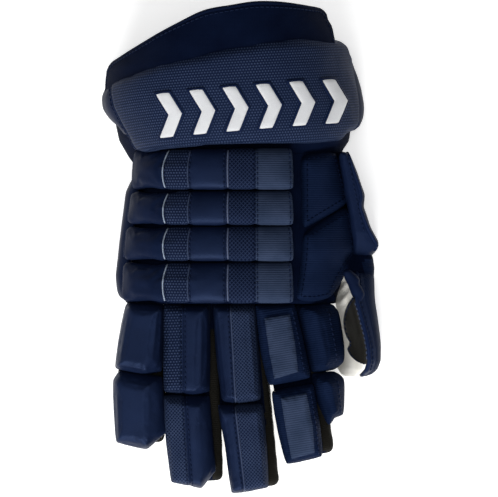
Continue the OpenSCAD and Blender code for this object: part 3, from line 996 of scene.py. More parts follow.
def build_little_finger_side():
    """The low pad along the little finger edge, under the ends of the rolls."""
    surface = ArchSurface([(-38, -92, 94, 70), (-20, -92.5, 94, 70), (42, -85, 94, 72),
                           (58, -79, 94, 72)])
    ys = (-37, -20, 0, 20, 42, 56)
    upper = [(surface.flat_z(30.5, y, -1), y) for y in ys]
    lower = [(surface.flat_z(4.5, y, -1), y) for y in ys]
    outline = array_of(lower + upper[::-1])
    rings = [(1.5, -6), (0, -5), (0, -3), (1.5, -1.2), (4.5, -0.2), (7.5, 0.2)]
    loops = ring_stack(outline, rings)
    pad = Pad("little_finger_side", loops, 2.0, [DULL_LEATHER], (), pressure=3, cap=1.5,
              lay=surface.lay, wrinkle=0.3)
    stands_for(pad.obj, "hand", "navy_leather", "pinky_side_pad")
    cord = [(surface.flat_z(6.5, y, -1), y) for y in np.linspace(-34, 54, 40)]
    hand_sewing.cord(BINDING, *pad.on(cord, 0.2), 0.8)


build_little_finger_side()


# ---------------------------------------------------------------- thumb side panels and flap

SIDE_ARCH = ArchSurface([(-39, -70, 77, 58), (0, -70, 88.5, 61), (72, -70, 83, 62)])
UPPER_PANEL = ((44, 68.5), (44, 14), (53.5, 20.5), (78.5, 35.5), (76.5, 45.5), (73.5, 57.5),
               (69.5, 71.5))
LOWER_PANEL = ((44.5, 10.5), (43.5, -7.5), (41.5, -22.5), (39, -37.5), (53.5, -37.8),
               (65, -35.5), (70.5, -23.5), (76.5, -12.5), (83.5, -3.5), (83.5, 2.5),
               (80.5, 27.5), (79.5, 31.5))
PANEL_FOOT = 9.0     # Z of the panels' lower edge
PANEL_FULL = 40.0    # flat height that is stretched to reach the arch


def side_height(x, y):
    """Height of the padding's arch over a plan point."""
    return sum(w * np.interp(x, curve[:, 0], curve[:, 1])
               for w, curve in zip(SIDE_ARCH.weights(y), SIDE_ARCH.curves))


def lay_panel(points):
    x, y, h = points[:, 0], points[:, 1], points[:, 2]
    top = side_height(x, y)
    z = PANEL_FOOT + (top - PANEL_FOOT) * np.minimum(h, PANEL_FULL) / PANEL_FULL
    return np.column_stack([x, y, z + np.maximum(h - PANEL_FULL, 0)])


def build_panel(name, outline, *nodes):
    """A ribbed panel on the thumb side, stitched round inside its edge."""
    rings = [(1, 0), (0, 2), (0, PANEL_FULL - 8), (0.5, PANEL_FULL - 4.5),
             (2.2, PANEL_FULL - 1.8), (5.5, PANEL_FULL - 0.3), (9, PANEL_FULL)]
    loops = ring_stack(outline, rings)
    pad = Pad(name, loops, 2.0, [RIBBED], (), pressure=4, cap=2.0, lay=lay_panel,
              wrinkle=0.35)
    stands_for(pad.obj, "hand", "navy_microfibre", *nodes)
    corners = inset_outline(outline, 3.2)
    ring = straight_path([*corners, corners[0]], 1.5)
    hand_sewing.stitches(RIM_BINDING, *pad.on(ring, 0.1))


build_panel("thumb_side_upper", UPPER_PANEL, "thumb_side_panel_upper", "thumb_side_foam")
build_panel("thumb_side_lower", LOWER_PANEL, "thumb_side_panel_lower")

FLAP = ((70, 72), (75, 42.5), (78, 27.5), (81, 7.5), (81, -6.5), (94.5, -5.5),
        (98.5, -1.5), (100.5, 2.5), (98.5, 6.5), (93.5, 15.5), (88, 30.5), (89, 39.5),
        (82.5, 57.5), (77, 71.5))


def build_flap():
    """The stiff flap down the thumb side of the wrist."""
    rings = [(0.5, 4), (0, 6), (0, 22), (0.4, 27), (1.2, 29.5), (2.2, 30.5)]
    loops = ring_stack(FLAP, rings)

    def lay(points):
        rise = np.interp(points[:, 1], (-6, 12, 40, 72), (-3, 6, 12, 17))
        lift = np.clip((points[:, 2] - 6) / 20, 0, 1) * rise
        return points + np.column_stack([0 * lift, 0 * lift, lift])
    pad = Pad("thumb_flap", loops, 1.6, [DULL_LEATHER], (), pressure=2, cap=0.8, lay=lay,
              wrinkle=0.4)
    stands_for(pad.obj, "hand", "navy_leather", "thumb_side_flap")
    edge = smooth_path([(76.5, 70), (81, 57), (86.5, 40), (86, 31), (91.5, 15.5), (96.5, 6.5),
                        (98.3, 2.5), (96.5, -1)], 2)
    hand_sewing.cord(BINDING, *pad.on(edge, 0.3), 1.3)
    inner = smooth_path([(77, 66), (82, 42), (85, 28), (89.5, 10)], 2)
    hand_sewing.stitches(THREAD, *pad.on(inner, 0.1))


build_flap()


# ---------------------------------------------------------------- fingers

# X at the knuckle, lean in degrees, half the width, distance to the middle joint and to the tip
FINGER_FACTS = {
    "pinky": (-70.5, -2.5, 13, 48.5, 104.5),
    "ring": (-34.5, 3, 14, 66.5, 133.5),
    "middle": (2, 4.5, 14.5, 73, 138),
    "index": (35.5, 9, 15, 61.5, 115.5),
}
# The outline of each pad at its foot and at its top, corner for corner, from above
PAD_SHAPES = {
    "pinky_proximal": (
        ((-84, -40.3), (-87.5, -57.5), (-92, -86.5), (-69.5, -91), (-59.5, -88.5), (-58, -40.3)),
        ((-81, -45), (-84.5, -58), (-89, -83.5), (-70, -87.5), (-66, -79), (-61.5, -45.5)),
        (4, 3.5, 3.5, 0.5, 0, 1)),
    "pinky_distal": (
        ((-89.5, -89.5), (-93.5, -95.5), (-91.5, -140.5), (-69.5, -145.5), (-56, -133.5),
         (-59, -93.5)),
        ((-89, -97), (-90.5, -99), (-89, -137), (-69.8, -141.5), (-69.2, -135), (-68.5, -100)),
        (4, 4, 6.5, 3.5, 2.5, 0)),
    "ring_proximal": (
        ((-56.6, -40.3), (-56.4, -103.5), (-42.5, -105), (-34, -106), (-24.5, -103.5),
         (-24.5, -40.3)),
        ((-53.5, -46), (-53.5, -100), (-42, -102), (-34.5, -102.5), (-31, -99), (-29.5, -46)),
        (3.5, 3.5, 2, 0.5, 0, 1)),
    "ring_distal": (
        ((-56.8, -107.5), (-54.5, -140), (-51.2, -169.5), (-30, -173.8), (-20, -161.5),
         (-24.5, -107.5)),
        ((-53.5, -113), (-51.5, -140), (-48.3, -166), (-30.2, -169.5), (-29.5, -163),
         (-32, -115.5)),
        (3.5, 4.5, 6.5, 3.5, 3, 0)),
    "middle_proximal": (
        ((-20.4, -40.3), (-18, -74), (-14, -110.5), (-4.5, -112.3), (12.8, -109.8), (11, -75),
         (8.6, -40.3)),
        ((-17.5, -46), (-15, -74), (-11, -106.5), (-4.3, -108), (9.2, -106), (7.2, -75),
         (4.8, -46)),
        (3.5, 3, 3, 1, 1, 0.5, 1)),
    "middle_distal": (
        ((-16.8, -114.5), (-11.4, -143), (-7, -177.3), (2.2, -176.8), (18, -173.3),
         (16.8, -145), (14.2, -113.5)),
        ((-14, -121), (-10.2, -143), (-4.8, -173.5), (2.2, -173), (14.6, -170), (13.2, -145),
         (10, -118.5)),
        (3.5, 4, 7, 5, 4.5, 2, 0)),
    "index_proximal": (
        ((10.5, -41), (14.5, -75), (20, -98.5), (49, -93), (43, -65), (37, -40.3)),
        ((17, -51.5), (20.5, -75), (24, -93.5), (39.5, -88.5), (37.5, -68), (34, -48.5)),
        (1, 0.5, 0.5, 0.5, 0.5, 1)),
    "index_distal": (
        ((22.2, -104.5), (27.2, -133), (32.8, -156), (57.8, -150.5), (55.5, -130),
         (51, -99)),
        ((29, -109), (32.5, -131), (36.5, -152), (51.8, -147.5), (50.5, -128), (46, -105.5)),
        (0.5, 2, 4.5, 4, 1.5, 0)),
    "index_proximal_side": (
        ((38.5, -41.5), (44, -65), (51, -89.5), (67.5, -87.5), (73.8, -82), (74, -72),
         (70, -46), (66, -41)),
        ((50.5, -44.5), (54, -62), (60, -85), (61, -85), (61.5, -80), (58.5, -68), (53.5, -47),
         (51.5, -44.5)),
        (2, 0.5, 0, 0, 0, 0, 0.5, 2)),
    "index_distal_side": (
        ((51, -91), (52, -104), (63.4, -127.8), (66.5, -122.5), (73.4, -120.5), (73.8, -95),
         (67.5, -90.5)),
        ((59.5, -97), (61, -103), (66.5, -119.5), (68.5, -118.8), (69.3, -117.5), (64, -99),
         (61.5, -96)),
        (1, 0.5, 1, 1, 1, 0, 1)),
}
# The line that parts a pad's two materials, and which of them is on its thumb side
PAD_SEAMS = {
    "ring_proximal": (((-43.2, -40), (-42.9, -106)), (ROW_NET, LEATHER)),
    "ring_distal": (((-42.3, -104), (-38, -173)), (FINGER_NET, LEATHER)),
    "middle_proximal": (((-8.6, -40), (-4.7, -112)), (LEATHER, FINGER_NET)),
    "middle_distal": (((-5.6, -110), (2.2, -177)), (LEATHER, FINGER_NET)),
}


def build_finger_pad(name):
    """A padded block on the back or side of a finger, sewn along the line that parts its cloths."""
    base, plateau, drops = PAD_SHAPES[name]
    base, plateau = inset_outline(base, -0.8), inset_outline(plateau, -0.3)
    finger, half = name.split("_")[:2]
    body = f"{finger}_{half}"
    lean = math.radians(FINGER_FACTS[finger][1])
    top = 48.5 if half == "proximal" else 47.0
    on_side = name.endswith("side")
    if on_side:
        top -= 4.5
        levels = ((0.03, 14.5), (0.0, 16), (0.0, 27), (0.5, top - 7), (0.93, top - 0.6), (1.0, top))
    elif finger == "index":
        levels = ((0.03, 27.3), (0.0, 28.5), (0.0, top - 9), (0.3, top - 4.5), (0.88, top - 2.6),
                  (0.96, top - 0.4), (1.0, top))
    else:
        levels = ((0.03, 27.3), (0.0, 28.5), (0.0, 33.5), (0.45, top - 5), (0.92, top - 0.4),
                  (1.0, top))
    ribbed = finger == "index"
    line, materials = PAD_SEAMS.get(name, (None, (RIBBED if ribbed else LEATHER,)))
    cuts, zone = ([cut_along(line)], right_of(line)) if line else ((), None)
    # The index pads' plateaus take the paler microfibre, a painted highlight.
    if ribbed and not on_side:
        pale_highlight = array_of(base) * 0.08 + array_of(plateau) * 0.92
        cuts = [cut_along((a, b)) for a, b in zip(pale_highlight, np.roll(pale_highlight, -1, axis=0))]
        zone, materials = within(pale_highlight), (RIBBED, RIBBED_HIGHLIT)
    pad = Pad(name + "_padding", between(base, plateau, levels, drops), 1.25, list(materials),
              [line] if line else (), seam_depth=0.7, seam_width=1.2, pressure=2, cap=0.6,
              cuts=cuts, zone=zone, turn=lean, wrinkle=0.3, relaxing=1)
    slot = "navy_microfibre" if ribbed else "navy_leather"
    stands_for(pad.obj, body, slot, f"{name}_pad", f"{name}_foam")
    sewing = finger_sewing[body]
    if line:
        path = straight_path(line, 1.5)
        sewing.cord(DIM_PIPING if finger == "middle" else THREAD, *pad.on(path, 0.2), 0.65)
        for shift in (-1.8, 1.8) if finger == "ring" else (-2.0,):
            sewing.stitches(THREAD, *pad.on(path + [shift, 0], 0.12))
    if ribbed:
        ring = array_of(base) * 0.55 + array_of(plateau) * 0.45
        edge = ring[4:8] if on_side else ring[3:6]
        sewing.stitches(THREAD, *pad.on(straight_path(edge, 1.5), 0.12))


finger_sewing = {f"{f}_{h}": Sewing(f"{f}_{h}") for f in FINGERS for h in HALVES}
for pad_name in PAD_SHAPES:
    build_finger_pad(pad_name)


def finger_point(finger, across, along, z):
    """A point in a finger's own frame: across from its centre line, along from its knuckle."""
    x, lean, _, _, _ = FINGER_FACTS[finger]
    a = math.radians(lean)
    return np.array([x + across * math.cos(a) + along * math.sin(a),
                     KNUCKLE_Y + across * math.sin(a) - along * math.cos(a), z])


def squared_ring(half, low, high, power, count):
    """A rounded square section: points (across, z), starting at its low side's middle."""
    t = np.linspace(0, 2 * math.pi, count, endpoint=False) - math.pi / 2
    c, s = np.cos(t), np.sin(t)
    x = half * np.sign(c) * np.abs(c) ** (2 / power)
    z = (low + high) / 2 + (high - low) / 2 * np.sign(s) * np.abs(s) ** (2 / power)
    return x, z


INDEX_SIDE_REACH = 34.0    # the index sleeve's width at the knuckle, under its side pads
# How far each sleeve's upper side spreads to the little finger side and to the thumb side,
# at the knuckle, the middle joint and the tip
SLEEVE_SPREAD = {"pinky": ((14, 18.5, 14), (14, 16.5, 18.5)),
                 "ring": ((20, 25.2, 22.5), (14, 15.2, 13.6)),
                 "middle": ((19.5, 25, 20), (11.5, 13, 15)),
                 "index": ((19, 22.5, 21), (15, 15, 15))}


SLEEVE_SIDES = 44
SLEEVE_RINGS = 22
SLEEVE_TIP = 9.0      # length of the rounded fingertip
LINED_RINGS = 14      # rings of a near sleeve whose whole top is lining


def build_sleeve(finger, part, start, end):
    """A length of the knitted finger sleeve with its suede palm face."""
    _, _, half, middle, tip = FINGER_FACTS[finger]
    spreads = SLEEVE_SPREAD[finger]
    count = SLEEVE_SIDES
    closed = end >= tip - SLEEVE_TIP
    stations = list(np.linspace(start, min(end, tip - SLEEVE_TIP), SLEEVE_RINGS))
    shrink = [1.0] * len(stations)
    if closed:
        for a in (k / 7 * math.pi / 2 for k in range(1, 8)):
            stations.append(tip - SLEEVE_TIP + 6 * math.sin(a))
            shrink.append(max(0.12, math.cos(a) ** 0.6))
    rings, across = [], []
    run = np.linspace(0, 2 * (2 * half + STALL_TOP), count + 1)
    for along, s in zip(stations, shrink):
        width = half * (0.5 + 0.5 * s) * (1 + 0.02 * math.sin(along * 0.5))
        x, z = squared_ring(width, 0.4 + (1 - s) * 9, STALL_TOP - (1 - s) * 11, 6, count)
        left, right = (float(np.interp(along, (0, middle, tip), side)) for side in spreads)
        if finger == "index":
            right = float(np.interp(along, (2, 12), (INDEX_SIDE_REACH, right)))
        spread = np.where(x < 0, left - (tip - along < 20) * 3, right)
        x = x * (1 + (spread / half - 1) * np.clip(z / 13, 0, 1))
        rings.append([finger_point(finger, a, along, b) for a, b in zip(x, z)])
        across.append(x)
    verts, faces = bridge(rings, True, False, closed)
    obj = make_object(f"{finger}_{part}_sleeve", verts, faces, [GUSSET, SUEDE, LINING])
    uv = []
    for p in obj.data.polygons:
        low = np.mean([verts[i][2] for i in p.vertices])
        ring, k = divmod(p.vertices[0], count)
        under_pads = across[ring][k] < half * 0.6 or (part == "near" and ring < LINED_RINGS)
        p.material_index = 1 if low < 5.0 else 2 if low > STALL_TOP - 4 and under_pads else 0
        for i in p.vertices:
            ring, k = divmod(i, count)
            if p.index % count == count - 1 and k == 0:
                k = count
            uv.append((run[k], stations[ring]))
    put_uv(obj.data, uv)
    subdivide(obj)
    return obj


for finger in FINGERS:
    _, _, half, middle, tip = FINGER_FACTS[finger]
    near = build_sleeve(finger, "near", -9, middle / 2)
    far = build_sleeve(finger, "far", middle / 2, tip)
    for piece, a, b, hinge, node in (
            (near, "hand", f"{finger}_proximal", 0, f"{finger}_proximal_stall"),
            (far, f"{finger}_proximal", f"{finger}_distal", middle, f"{finger}_distal_stall")):
        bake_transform(piece)
        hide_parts(node)


# ---------------------------------------------------------------- thumb

# Y, X of the suede's edge, of the bound ridge and of the outer side, and the ridge's height
THUMB_STATIONS = (
    (-17, 75, 83, 96.5, 30), (-21, 72.5, 83.5, 97, 35.5), (-30, 70, 83.5, 97.2, 40.5),
    (-38, 68, 83.5, 97.5, 42), (-47, 70.5, 86, 99, 42), (-62, 73, 90, 101, 42),
    (-72, 73.5, 92, 102, 41.5), (-82, 71.5, 92.5, 101.8, 39), (-88, 70, 91, 99.5, 34),
    (-92, 72.5, 88, 95.5, 25), (-94, 76, 85, 90, 16))
# Points round the thumb's section: from the ridge to the suede's foot, along the foot, and back up
THUMB_POINTS = (20, 14, 22)
THUMB_COUNT = sum(THUMB_POINTS)


def thumb_section(y):
    """The thumb's closed section at one Y, from its bound ridge down the suede side and round."""
    left, ridge, right, top = row_at(THUMB_STATIONS, y)
    low = 0.5 + max(0.0, -y - 88) * 0.9 + max(0.0, y + 27) * 0.8
    slope = top - low
    corners = [(ridge, top), (ridge - 3.5, top - 2.5),
               (ridge * 0.55 + left * 0.45, low + slope * 0.62),
               (ridge * 0.2 + left * 0.8, low + slope * 0.3), (left, low + slope * 0.14),
               (left + 1.5, low), (left + 8, low), (right - 12, low), (right - 4, low + 0.5),
               (right - 0.6, low + slope * 0.16), (right, low + slope * 0.4),
               (right - 1.2, low + slope * 0.66), (right * 0.7 + ridge * 0.3, low + slope * 0.86),
               (ridge + 2.2, top - 0.6)]
    closed = smooth_path(corners + [corners[0]], 1.0)
    run = running_length(closed)
    # the ridge, the suede's foot and the outer foot keep their places in the ring
    feet = [run[np.argmin(np.linalg.norm(closed - corners[k], axis=1))] for k in (5, 8)]
    marks = [0, *feet, run[-1]]
    share = np.concatenate([np.linspace(a, b, count, endpoint=False)
                            for a, b, count in zip(marks, marks[1:], THUMB_POINTS)])
    return np.column_stack([np.interp(share, run, closed[:, 0]), np.full(len(share), y),
                            np.interp(share, run, closed[:, 1])])


def swell_thumb(ys, rings):
    """Swells and dents the thumb's sections, with slanting wrinkles at the root of its suede."""
    for y, ring in zip(ys, rings):
        ridge = row_at(THUMB_STATIONS, y)[1]
        for p in ring:
            if p[2] <= 3:
                continue
            q = Vector(p) * 0.06
            swell = noise.noise(q) * 0.6 + noise.noise(q * 2.5) * 0.3
            on_suede = p[0] < ridge - 2
            if on_suede and y > -50:
                swell += 0.55 * math.sin(p[0] * 0.75 - p[1] * 0.75) * min(1, (p[1] + 50) / 10)
            centre = np.array([ridge, p[1], 14])
            away = (p - centre) / max(1e-6, np.linalg.norm(p - centre))
            p += away * swell * (1.0 if on_suede else 0.5)


def dropper(verts, faces):
    """A function that drops plan points on a mesh: it gives their places and upward normals."""
    tree = BVHTree.FromPolygons([Vector(v) for v in verts], faces)

    def drop(path, lift):
        out, ups = [], []
        for x, y in path:
            hit, normal, _, _ = tree.ray_cast(Vector((x, y, 200)), Vector((0, 0, -1)))
            if hit is not None:
                if normal.z < 0:
                    normal = -normal
                out.append(np.array(hit) + np.array(normal) * lift)
                ups.append(np.array(normal))
        return np.array(out), np.array(ups)
    return drop


def build_thumb():
    """The padded thumb: suede on its inner side and leather at its bound ridge."""
    ys = np.concatenate([np.linspace(-17, -86, 36), np.linspace(-87.5, -94, 9)])
    rings = [thumb_section(y) for y in ys]
    swell_thumb(ys, rings)
    verts, faces = bridge([list(map(tuple, r)) for r in rings], True, False, True)
    obj = make_object("thumb_padding", verts, faces, [RIBBED, SUEDE, LEATHER])
    uv = []
    foot, outer = THUMB_POINTS[0], THUMB_POINTS[0] + THUMB_POINTS[1]
    for p in obj.data.polygons:
        k = p.index % THUMB_COUNT
        p.material_index = 1 if k < outer - 1 else 2 if k >= THUMB_COUNT - 3 else 0
        for x, y, z in (verts[i] for i in p.vertices):
            uv.append((y, x) if foot <= k < outer else (y, z * 1.1))
    put_uv(obj.data, uv)
    thicken(obj, 2.2, -1)
    subdivide(obj)
    stands_for(obj, "thumb", "navy_leather", "thumb_shell", "thumb_foam", "thumb_lock",
               "thumb_stall")
    drop = dropper(verts, faces)
    ridge = [(row_at(THUMB_STATIONS, y)[1] - 0.6, y) for y in np.linspace(-19, -90, 60)]
    border = np.array([ring[0] for ring in rings[:-2]])
    out = border - [[row_at(THUMB_STATIONS, p[1])[1] - 1, p[1] + 6 * (p[1] < -85), 10] for p in border]
    thumb_sewing.cord(BINDING, border, unit(out), 1.8, 0.75)
    thumb_sewing.stitches(THREAD, *drop([(x + 3.4, y) for x, y in ridge], 0.1))
    thumb_sewing.stitches(DIM_PIPING, *drop([(x - 0.7, y) for x, y in ridge if -82 < y < -38], 1.3))
    return drop


thumb_drop = build_thumb()


def build_grip():
    """The black grip patch sewn on the thumb's suede side."""
    edge = smooth_path([(81, -35.5), (77.5, -41.5), (75.5, -49.5), (75.5, -57.5), (77.5, -64.5),
                        (79.5, -68), (79.5, -70.5), (78, -73.5), (80.5, -78.5), (85.5, -82.5),
                        (90, -83)], 2.0)
    rows, count = [], 14
    for x0, y0 in sorted(edge.tolist(), key=lambda p: -p[1]):
        x1 = row_at(THUMB_STATIONS, y0)[1] - 0.8
        xs = np.linspace(x0, max(x1, x0 + 0.5), count)
        points, _ = thumb_drop([(x, y0) for x in xs], 0.55)
        if len(points) == count:
            rows.append(list(map(tuple, points)))
    uv = [(y, z + x) for row in rows for x, y, z in row]
    obj = make_cloth("thumb_grip_patch", rows, False, GRIP, uv, 1.1)
    stands_for(obj, "thumb", "grip", "thumb_grip")
    thumb_sewing.stitches(THREAD, *thumb_drop(edge + [1.1, 0], 1.15))


build_grip()


def build_thumb_web():
    """Knitted web between the hand and the thumb."""
    # Y, low X, high X and top Z
    stations = ((4, 70, 92, 24), (-4, 70, 95.5, 25), (-12, 71.5, 97, 27), (-18, 76, 97, 29),
                (-24, 80, 95.5, 31), (-30, 84, 93, 33))
    rings, count = [], 40
    for y in np.linspace(4, -30, 16):
        low, high, top = row_at(stations, y)
        x, z = squared_ring((high - low) / 2, 1.5, top, 3.2, count)
        fold = 0.7 * np.sin(y * 0.9 + x * 0.15)
        rings.append([((low + high) / 2 + a + 0.2 * f, y, b + f * (b > 4))
                      for a, b, f in zip(x, z, fold)])
    verts, faces = bridge(rings, True)
    obj = make_object("thumb_web", verts, faces, [LINING, SUEDE, RIBBED])
    for p in obj.data.polygons:
        x, y, z = np.mean([verts[i] for i in p.vertices], axis=0)
        p.material_index = 1 if z < 5 else 2 if x > 89 and y < -8 else 0
    vertex_uv(obj.data, [(x + z, y) for x, y, z in verts])
    subdivide(obj)
    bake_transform(obj)


build_thumb_web()


def build_thumb_fold():
    """A bit of folded navy fabric where the thumb leaves the side panel."""
    base = ((73.6, -15.2), (73.8, -19), (76.8, -25), (80.4, -33), (82, -38.5), (84.6, -41),
            (87.6, -37), (89.4, -32.5), (87, -27.5), (85, -25), (86.2, -22.6), (83.6, -19),
            (78, -14.6))
    loops = ring_stack(base, ((0.5, 30), (0, 32), (0, 38.5), (0.5, 41), (1.4, 42.6)))
    pad = Pad("thumb_fold", loops, 1.1, [DULL_LEATHER], (), pressure=2, cap=0.8, wrinkle=0.8)
    stands_for(pad.obj, "thumb", "navy_leather")


build_thumb_fold()


# ---------------------------------------------------------------- hand shell and palm

HAND_CORE = ArchSurface([(-39.5, -84, 67, 48), (0, -80, 80, 50), (71, -73, 72, 51)])


def build_hand_shell():
    """The arched lining under the rolls, open at the wrist and at the fingers."""
    rows, uv, count = [], [], 90
    for y in np.linspace(-39.5, 71, 40):
        u = np.linspace(HAND_CORE.flat_z(3.2, y, -1), HAND_CORE.flat_z(3.2, y, 1), count)
        flat = np.column_stack([u, np.full(count, y), 0.25 * np.sin(u * 0.4 + y * 0.2)])
        rows.append(list(map(tuple, HAND_CORE.lay(flat))))
        uv += [(run, y) for run in u]
    obj = make_cloth("hand_lining_shell", rows, False, LINING, uv, 2, 1)
    stands_for(obj, "hand", "lining", "backhand_shell")


build_hand_shell()


def build_front_lining():
    """Lining that closes the hand's front above and between the finger sleeves."""
    curve = arch_curve(-80, 64, 46)
    columns = []
    for x in np.arange(-79.0, 63.5, 0.75):
        top = float(np.interp(x, curve[:, 0], curve[:, 1]))
        foot = 4.0
        for finger in FINGERS:
            (left, _, _), (right, _, _) = SLEEVE_SPREAD[finger]
            right = INDEX_SIDE_REACH if finger == "index" else right
            if -left - 1 < x - FINGER_FACTS[finger][0] < right + 1:
                foot = STALL_TOP + 0.8
        foot = min(foot, top - 0.5)
        columns.append([(x, -37.5 + 1.5 * t, foot + (top - foot) * t)
                        for t in np.linspace(0, 1, 12)])
    uv = [(x, z) for column in columns for x, _, z in column]
    obj = make_cloth("front_lining", columns, False, LINING, uv, 0.8)
    stands_for(obj, "hand", "lining")


build_front_lining()

PALM = ((-82, -30), (-84, -20), (-80, 10), (-73, 71), (72, 71), (79, 20), (80, 0), (76, -12),
        (68, -30))


def build_palm():
    """The suede palm with its heel patch, seen from below."""
    heel = ((-74, -22), (-72, 64), (66, 64), (72, 18), (70, -10), (60, -22))
    pieces = (("palm_panel", inset_outline(PALM, 1), 1.0, 2.5, "palm_sheet"),
              ("heel_panel", heel, 0.05, 1.05, "palm_heel_patch"))
    for name, outline, low, high, node in pieces:
        plan = round_outline(outline, 12, 5)
        rings = ring_stack(plan, ((1.2, low), (0.3, low + 0.3), (0, high - 0.4), (1, high)))
        bm = bmesh.new()
        made = [[bm.verts.new(p) for p in ring] for ring in rings]
        for a, b in zip(made[:-1], made[1:]):
            for i in range(len(a)):
                j = (i + 1) % len(a)
                bm.faces.new((a[i], a[j], b[j], b[i]))
        bm.faces.new(made[-1])
        bm.faces.new(list(reversed(made[0])))
        bmesh.ops.recalc_face_normals(bm, faces=bm.faces)
        bmesh.ops.triangulate(bm, faces=[f for f in bm.faces if len(f.verts) > 4])
        bmesh.ops.scale(bm, vec=(MM, MM, MM), verts=bm.verts)
        mesh = bpy.data.meshes.new(name)
        bm.to_mesh(mesh)
        bm.free()
        mesh.materials.append(SUEDE)
        vertex_uv(mesh, [(v.co.x / MM, v.co.y / MM) for v in mesh.vertices])
        obj = link_object(name, mesh)
        stands_for(obj, "hand", "palm_suede", node)
        flat, area = cut_size(plan)


build_palm()


# ---------------------------------------------------------------- cuff

CUFF = ArchSurface([(58, -79, 74, 82), (72, -86, 79, 85), (90, -96, 90, 93), (103, -103, 90, 98),
                    (112, -104, 88.5, 101), (132, -102, 84, 105), (149, -94, 81, 106),
                    (179.5, -76, 66, 107)])
CUFF_FRONT = ((-82, 71.5), (-75, 69.5), (-54, 71), (-27.5, 72.8), (12, 74), (51.5, 74.8),
              (66, 75.6), (75, 77.5))
CUFF_BACK = ((-98, 122), (-82, 127.5), (-67, 132), (-47, 137), (-27.5, 141), (-8, 145.5),
             (12, 149), (38, 152), (64.5, 154), (75, 153))


def cuff_outline():
    """The padded cuff in flat space, from its left foot along the front to the right one."""
    def seen(points):
        return [(CUFF.flat_x(x, y), y) for x, y in points]

    def end(side, points):
        return [(CUFF.flat_z(z, y, side), y) for z, y in points]
    return array_of(end(-1, ((9, 91.5), (30, 86.5), (48, 80))) + seen(CUFF_FRONT)
                    + end(1, ((45, 81), (26, 86), (9, 91), (9, 126), (22, 139), (34, 148)))
                    + seen(CUFF_BACK[::-1]) + end(-1, ((24, 121), (9, 114))))


def build_cuff():
    """The padded roll of the cuff, in net between two leather ends."""
    rings = [(2.5, -12), (0.4, -10), (0, -7), (0.3, -4), (1.4, -1.7), (3.6, -0.4), (7.5, 0)]
    outline = round_outline(cuff_outline(), 3, 3)
    loops = [with_height(inset_outline(outline, i), h - 0.8) for i, h in rings]
    side = [(CUFF.flat_x(-97, 120), 120), (CUFF.flat_x(-78, 70), 70)]
    far = [(CUFF.flat_z(30, 145, 1), 145), (CUFF.flat_z(30, 84, 1), 84)]

    def zone(x, y):
        return int(seam_x(side, y) < x < seam_x(far, y))
    pad = Pad("cuff_roll", loops, 2.6, [DULL_LEATHER, CUFF_NET], [side, far], seam_depth=0.8,
              pressure=4, cap=1.6, cuts=[cut_along(side), cut_along(far)], zone=zone,
              lay=CUFF.lay, turn=0.07, wrinkle=0.7)
    stands_for(pad.obj, "cuff", "navy_mesh", "cuff_cover", "cuff_foam", "cuff_insert")
    for line in (side, far):
        cuff_sewing.cord(BINDING, *pad.on(straight_path(line, 1.5), 0.25), 0.8)
    cuff_sewing.stitches(THREAD, *pad.on(straight_path(side, 1.5) + [-2.2, 0], 0.15))
    return pad


cuff_pad = build_cuff()

CHEVRONS = 6
CHEVRON_POINTS = 13    # points across one stroke
CHEVRON_START = (-52, 84)
CHEVRON_PITCH = 23.5
CHEVRON_HEIGHT = 32
CHEVRON_WIDTH = 11
CHEVRON_TURN = math.radians(5)


def build_chevrons():
    """Plain satin-stitch chevrons across the cuff, each with a navy edging."""
    verts_all, faces_all, uv_all = [], [], []
    c, s = math.cos(CHEVRON_TURN), math.sin(CHEVRON_TURN)
    for n in range(CHEVRONS):
        ox, oy = CHEVRON_START[0] + n * CHEVRON_PITCH, CHEVRON_START[1]
        spine = straight_path([(0, 0), (8, CHEVRON_HEIGHT / 2), (0, CHEVRON_HEIGHT)], 1.1)
        across = np.linspace(0, CHEVRON_WIDTH, CHEVRON_POINTS)
        grid = []
        for y, xs in ((y + oy, x + across + ox) for x, y in spine):
            turned = [(x * c - y * s, x * s + y * c) for x in xs]
            grid.append([(CUFF.flat_x(wx, wy), wy) for wx, wy in turned])
        rings = []
        for i, row in enumerate(grid):
            ends = min(i, len(grid) - 1 - i)
            points, ups = cuff_pad.on(row, 0.0)
            fat = 1.5 * np.clip(1 - np.abs(np.linspace(-1, 1, CHEVRON_POINTS)) ** 4, 0, 1)
            fat *= min(1.0, 0.35 + 0.3 * ends)
            rings.append([tuple(p + up * (0.25 + f)) for p, up, f in zip(points, ups, fat)])
        verts, faces = bridge(rings, False)
        start = len(verts_all)
        verts_all += verts
        for f in faces:
            faces_all.append(tuple(i + start for i in f))
            uv_all += [(across[i % CHEVRON_POINTS], (i // CHEVRON_POINTS) * 1.1) for i in f]
        border = ([r[0] for r in grid] + grid[-1][1:-1] + [r[-1] for r in reversed(grid)]
                  + grid[0][1:-1][::-1] + [grid[0][0], grid[1][0]])
        points, ups = cuff_pad.on(border, 0.35)
        cuff_sewing.cord(BINDING, points, ups, 1.15, 0.6)
    obj = make_object("cuff_chevrons", verts_all, faces_all, [EMBROIDERY])
    put_uv(obj.data, uv_all)
    thicken(obj, 0.5, -1)
    stands_for(obj, "cuff", "embroidery", "cuff_emblem")


build_chevrons()

# Plan points of the flared edge, little finger side first
FLARE_EDGE = ((-100.6, 114), (-100.4, 121), (-99.8, 127), (-98, 132.5), (-87, 139), (-67, 149.5),
              (-47.3, 159.3), (-27.6, 168), (-7.8, 171.6), (9.3, 174.2), (25, 174.5),
              (38.3, 173.7), (50, 172.6), (57, 172), (60.5, 169), (61.2, 164.8), (63.4, 160.5),
              (65, 154), (67, 148))
FLARE_FOOT = (-97, 62)    # X of the two ends of the flare's foot, under the roll's back edge


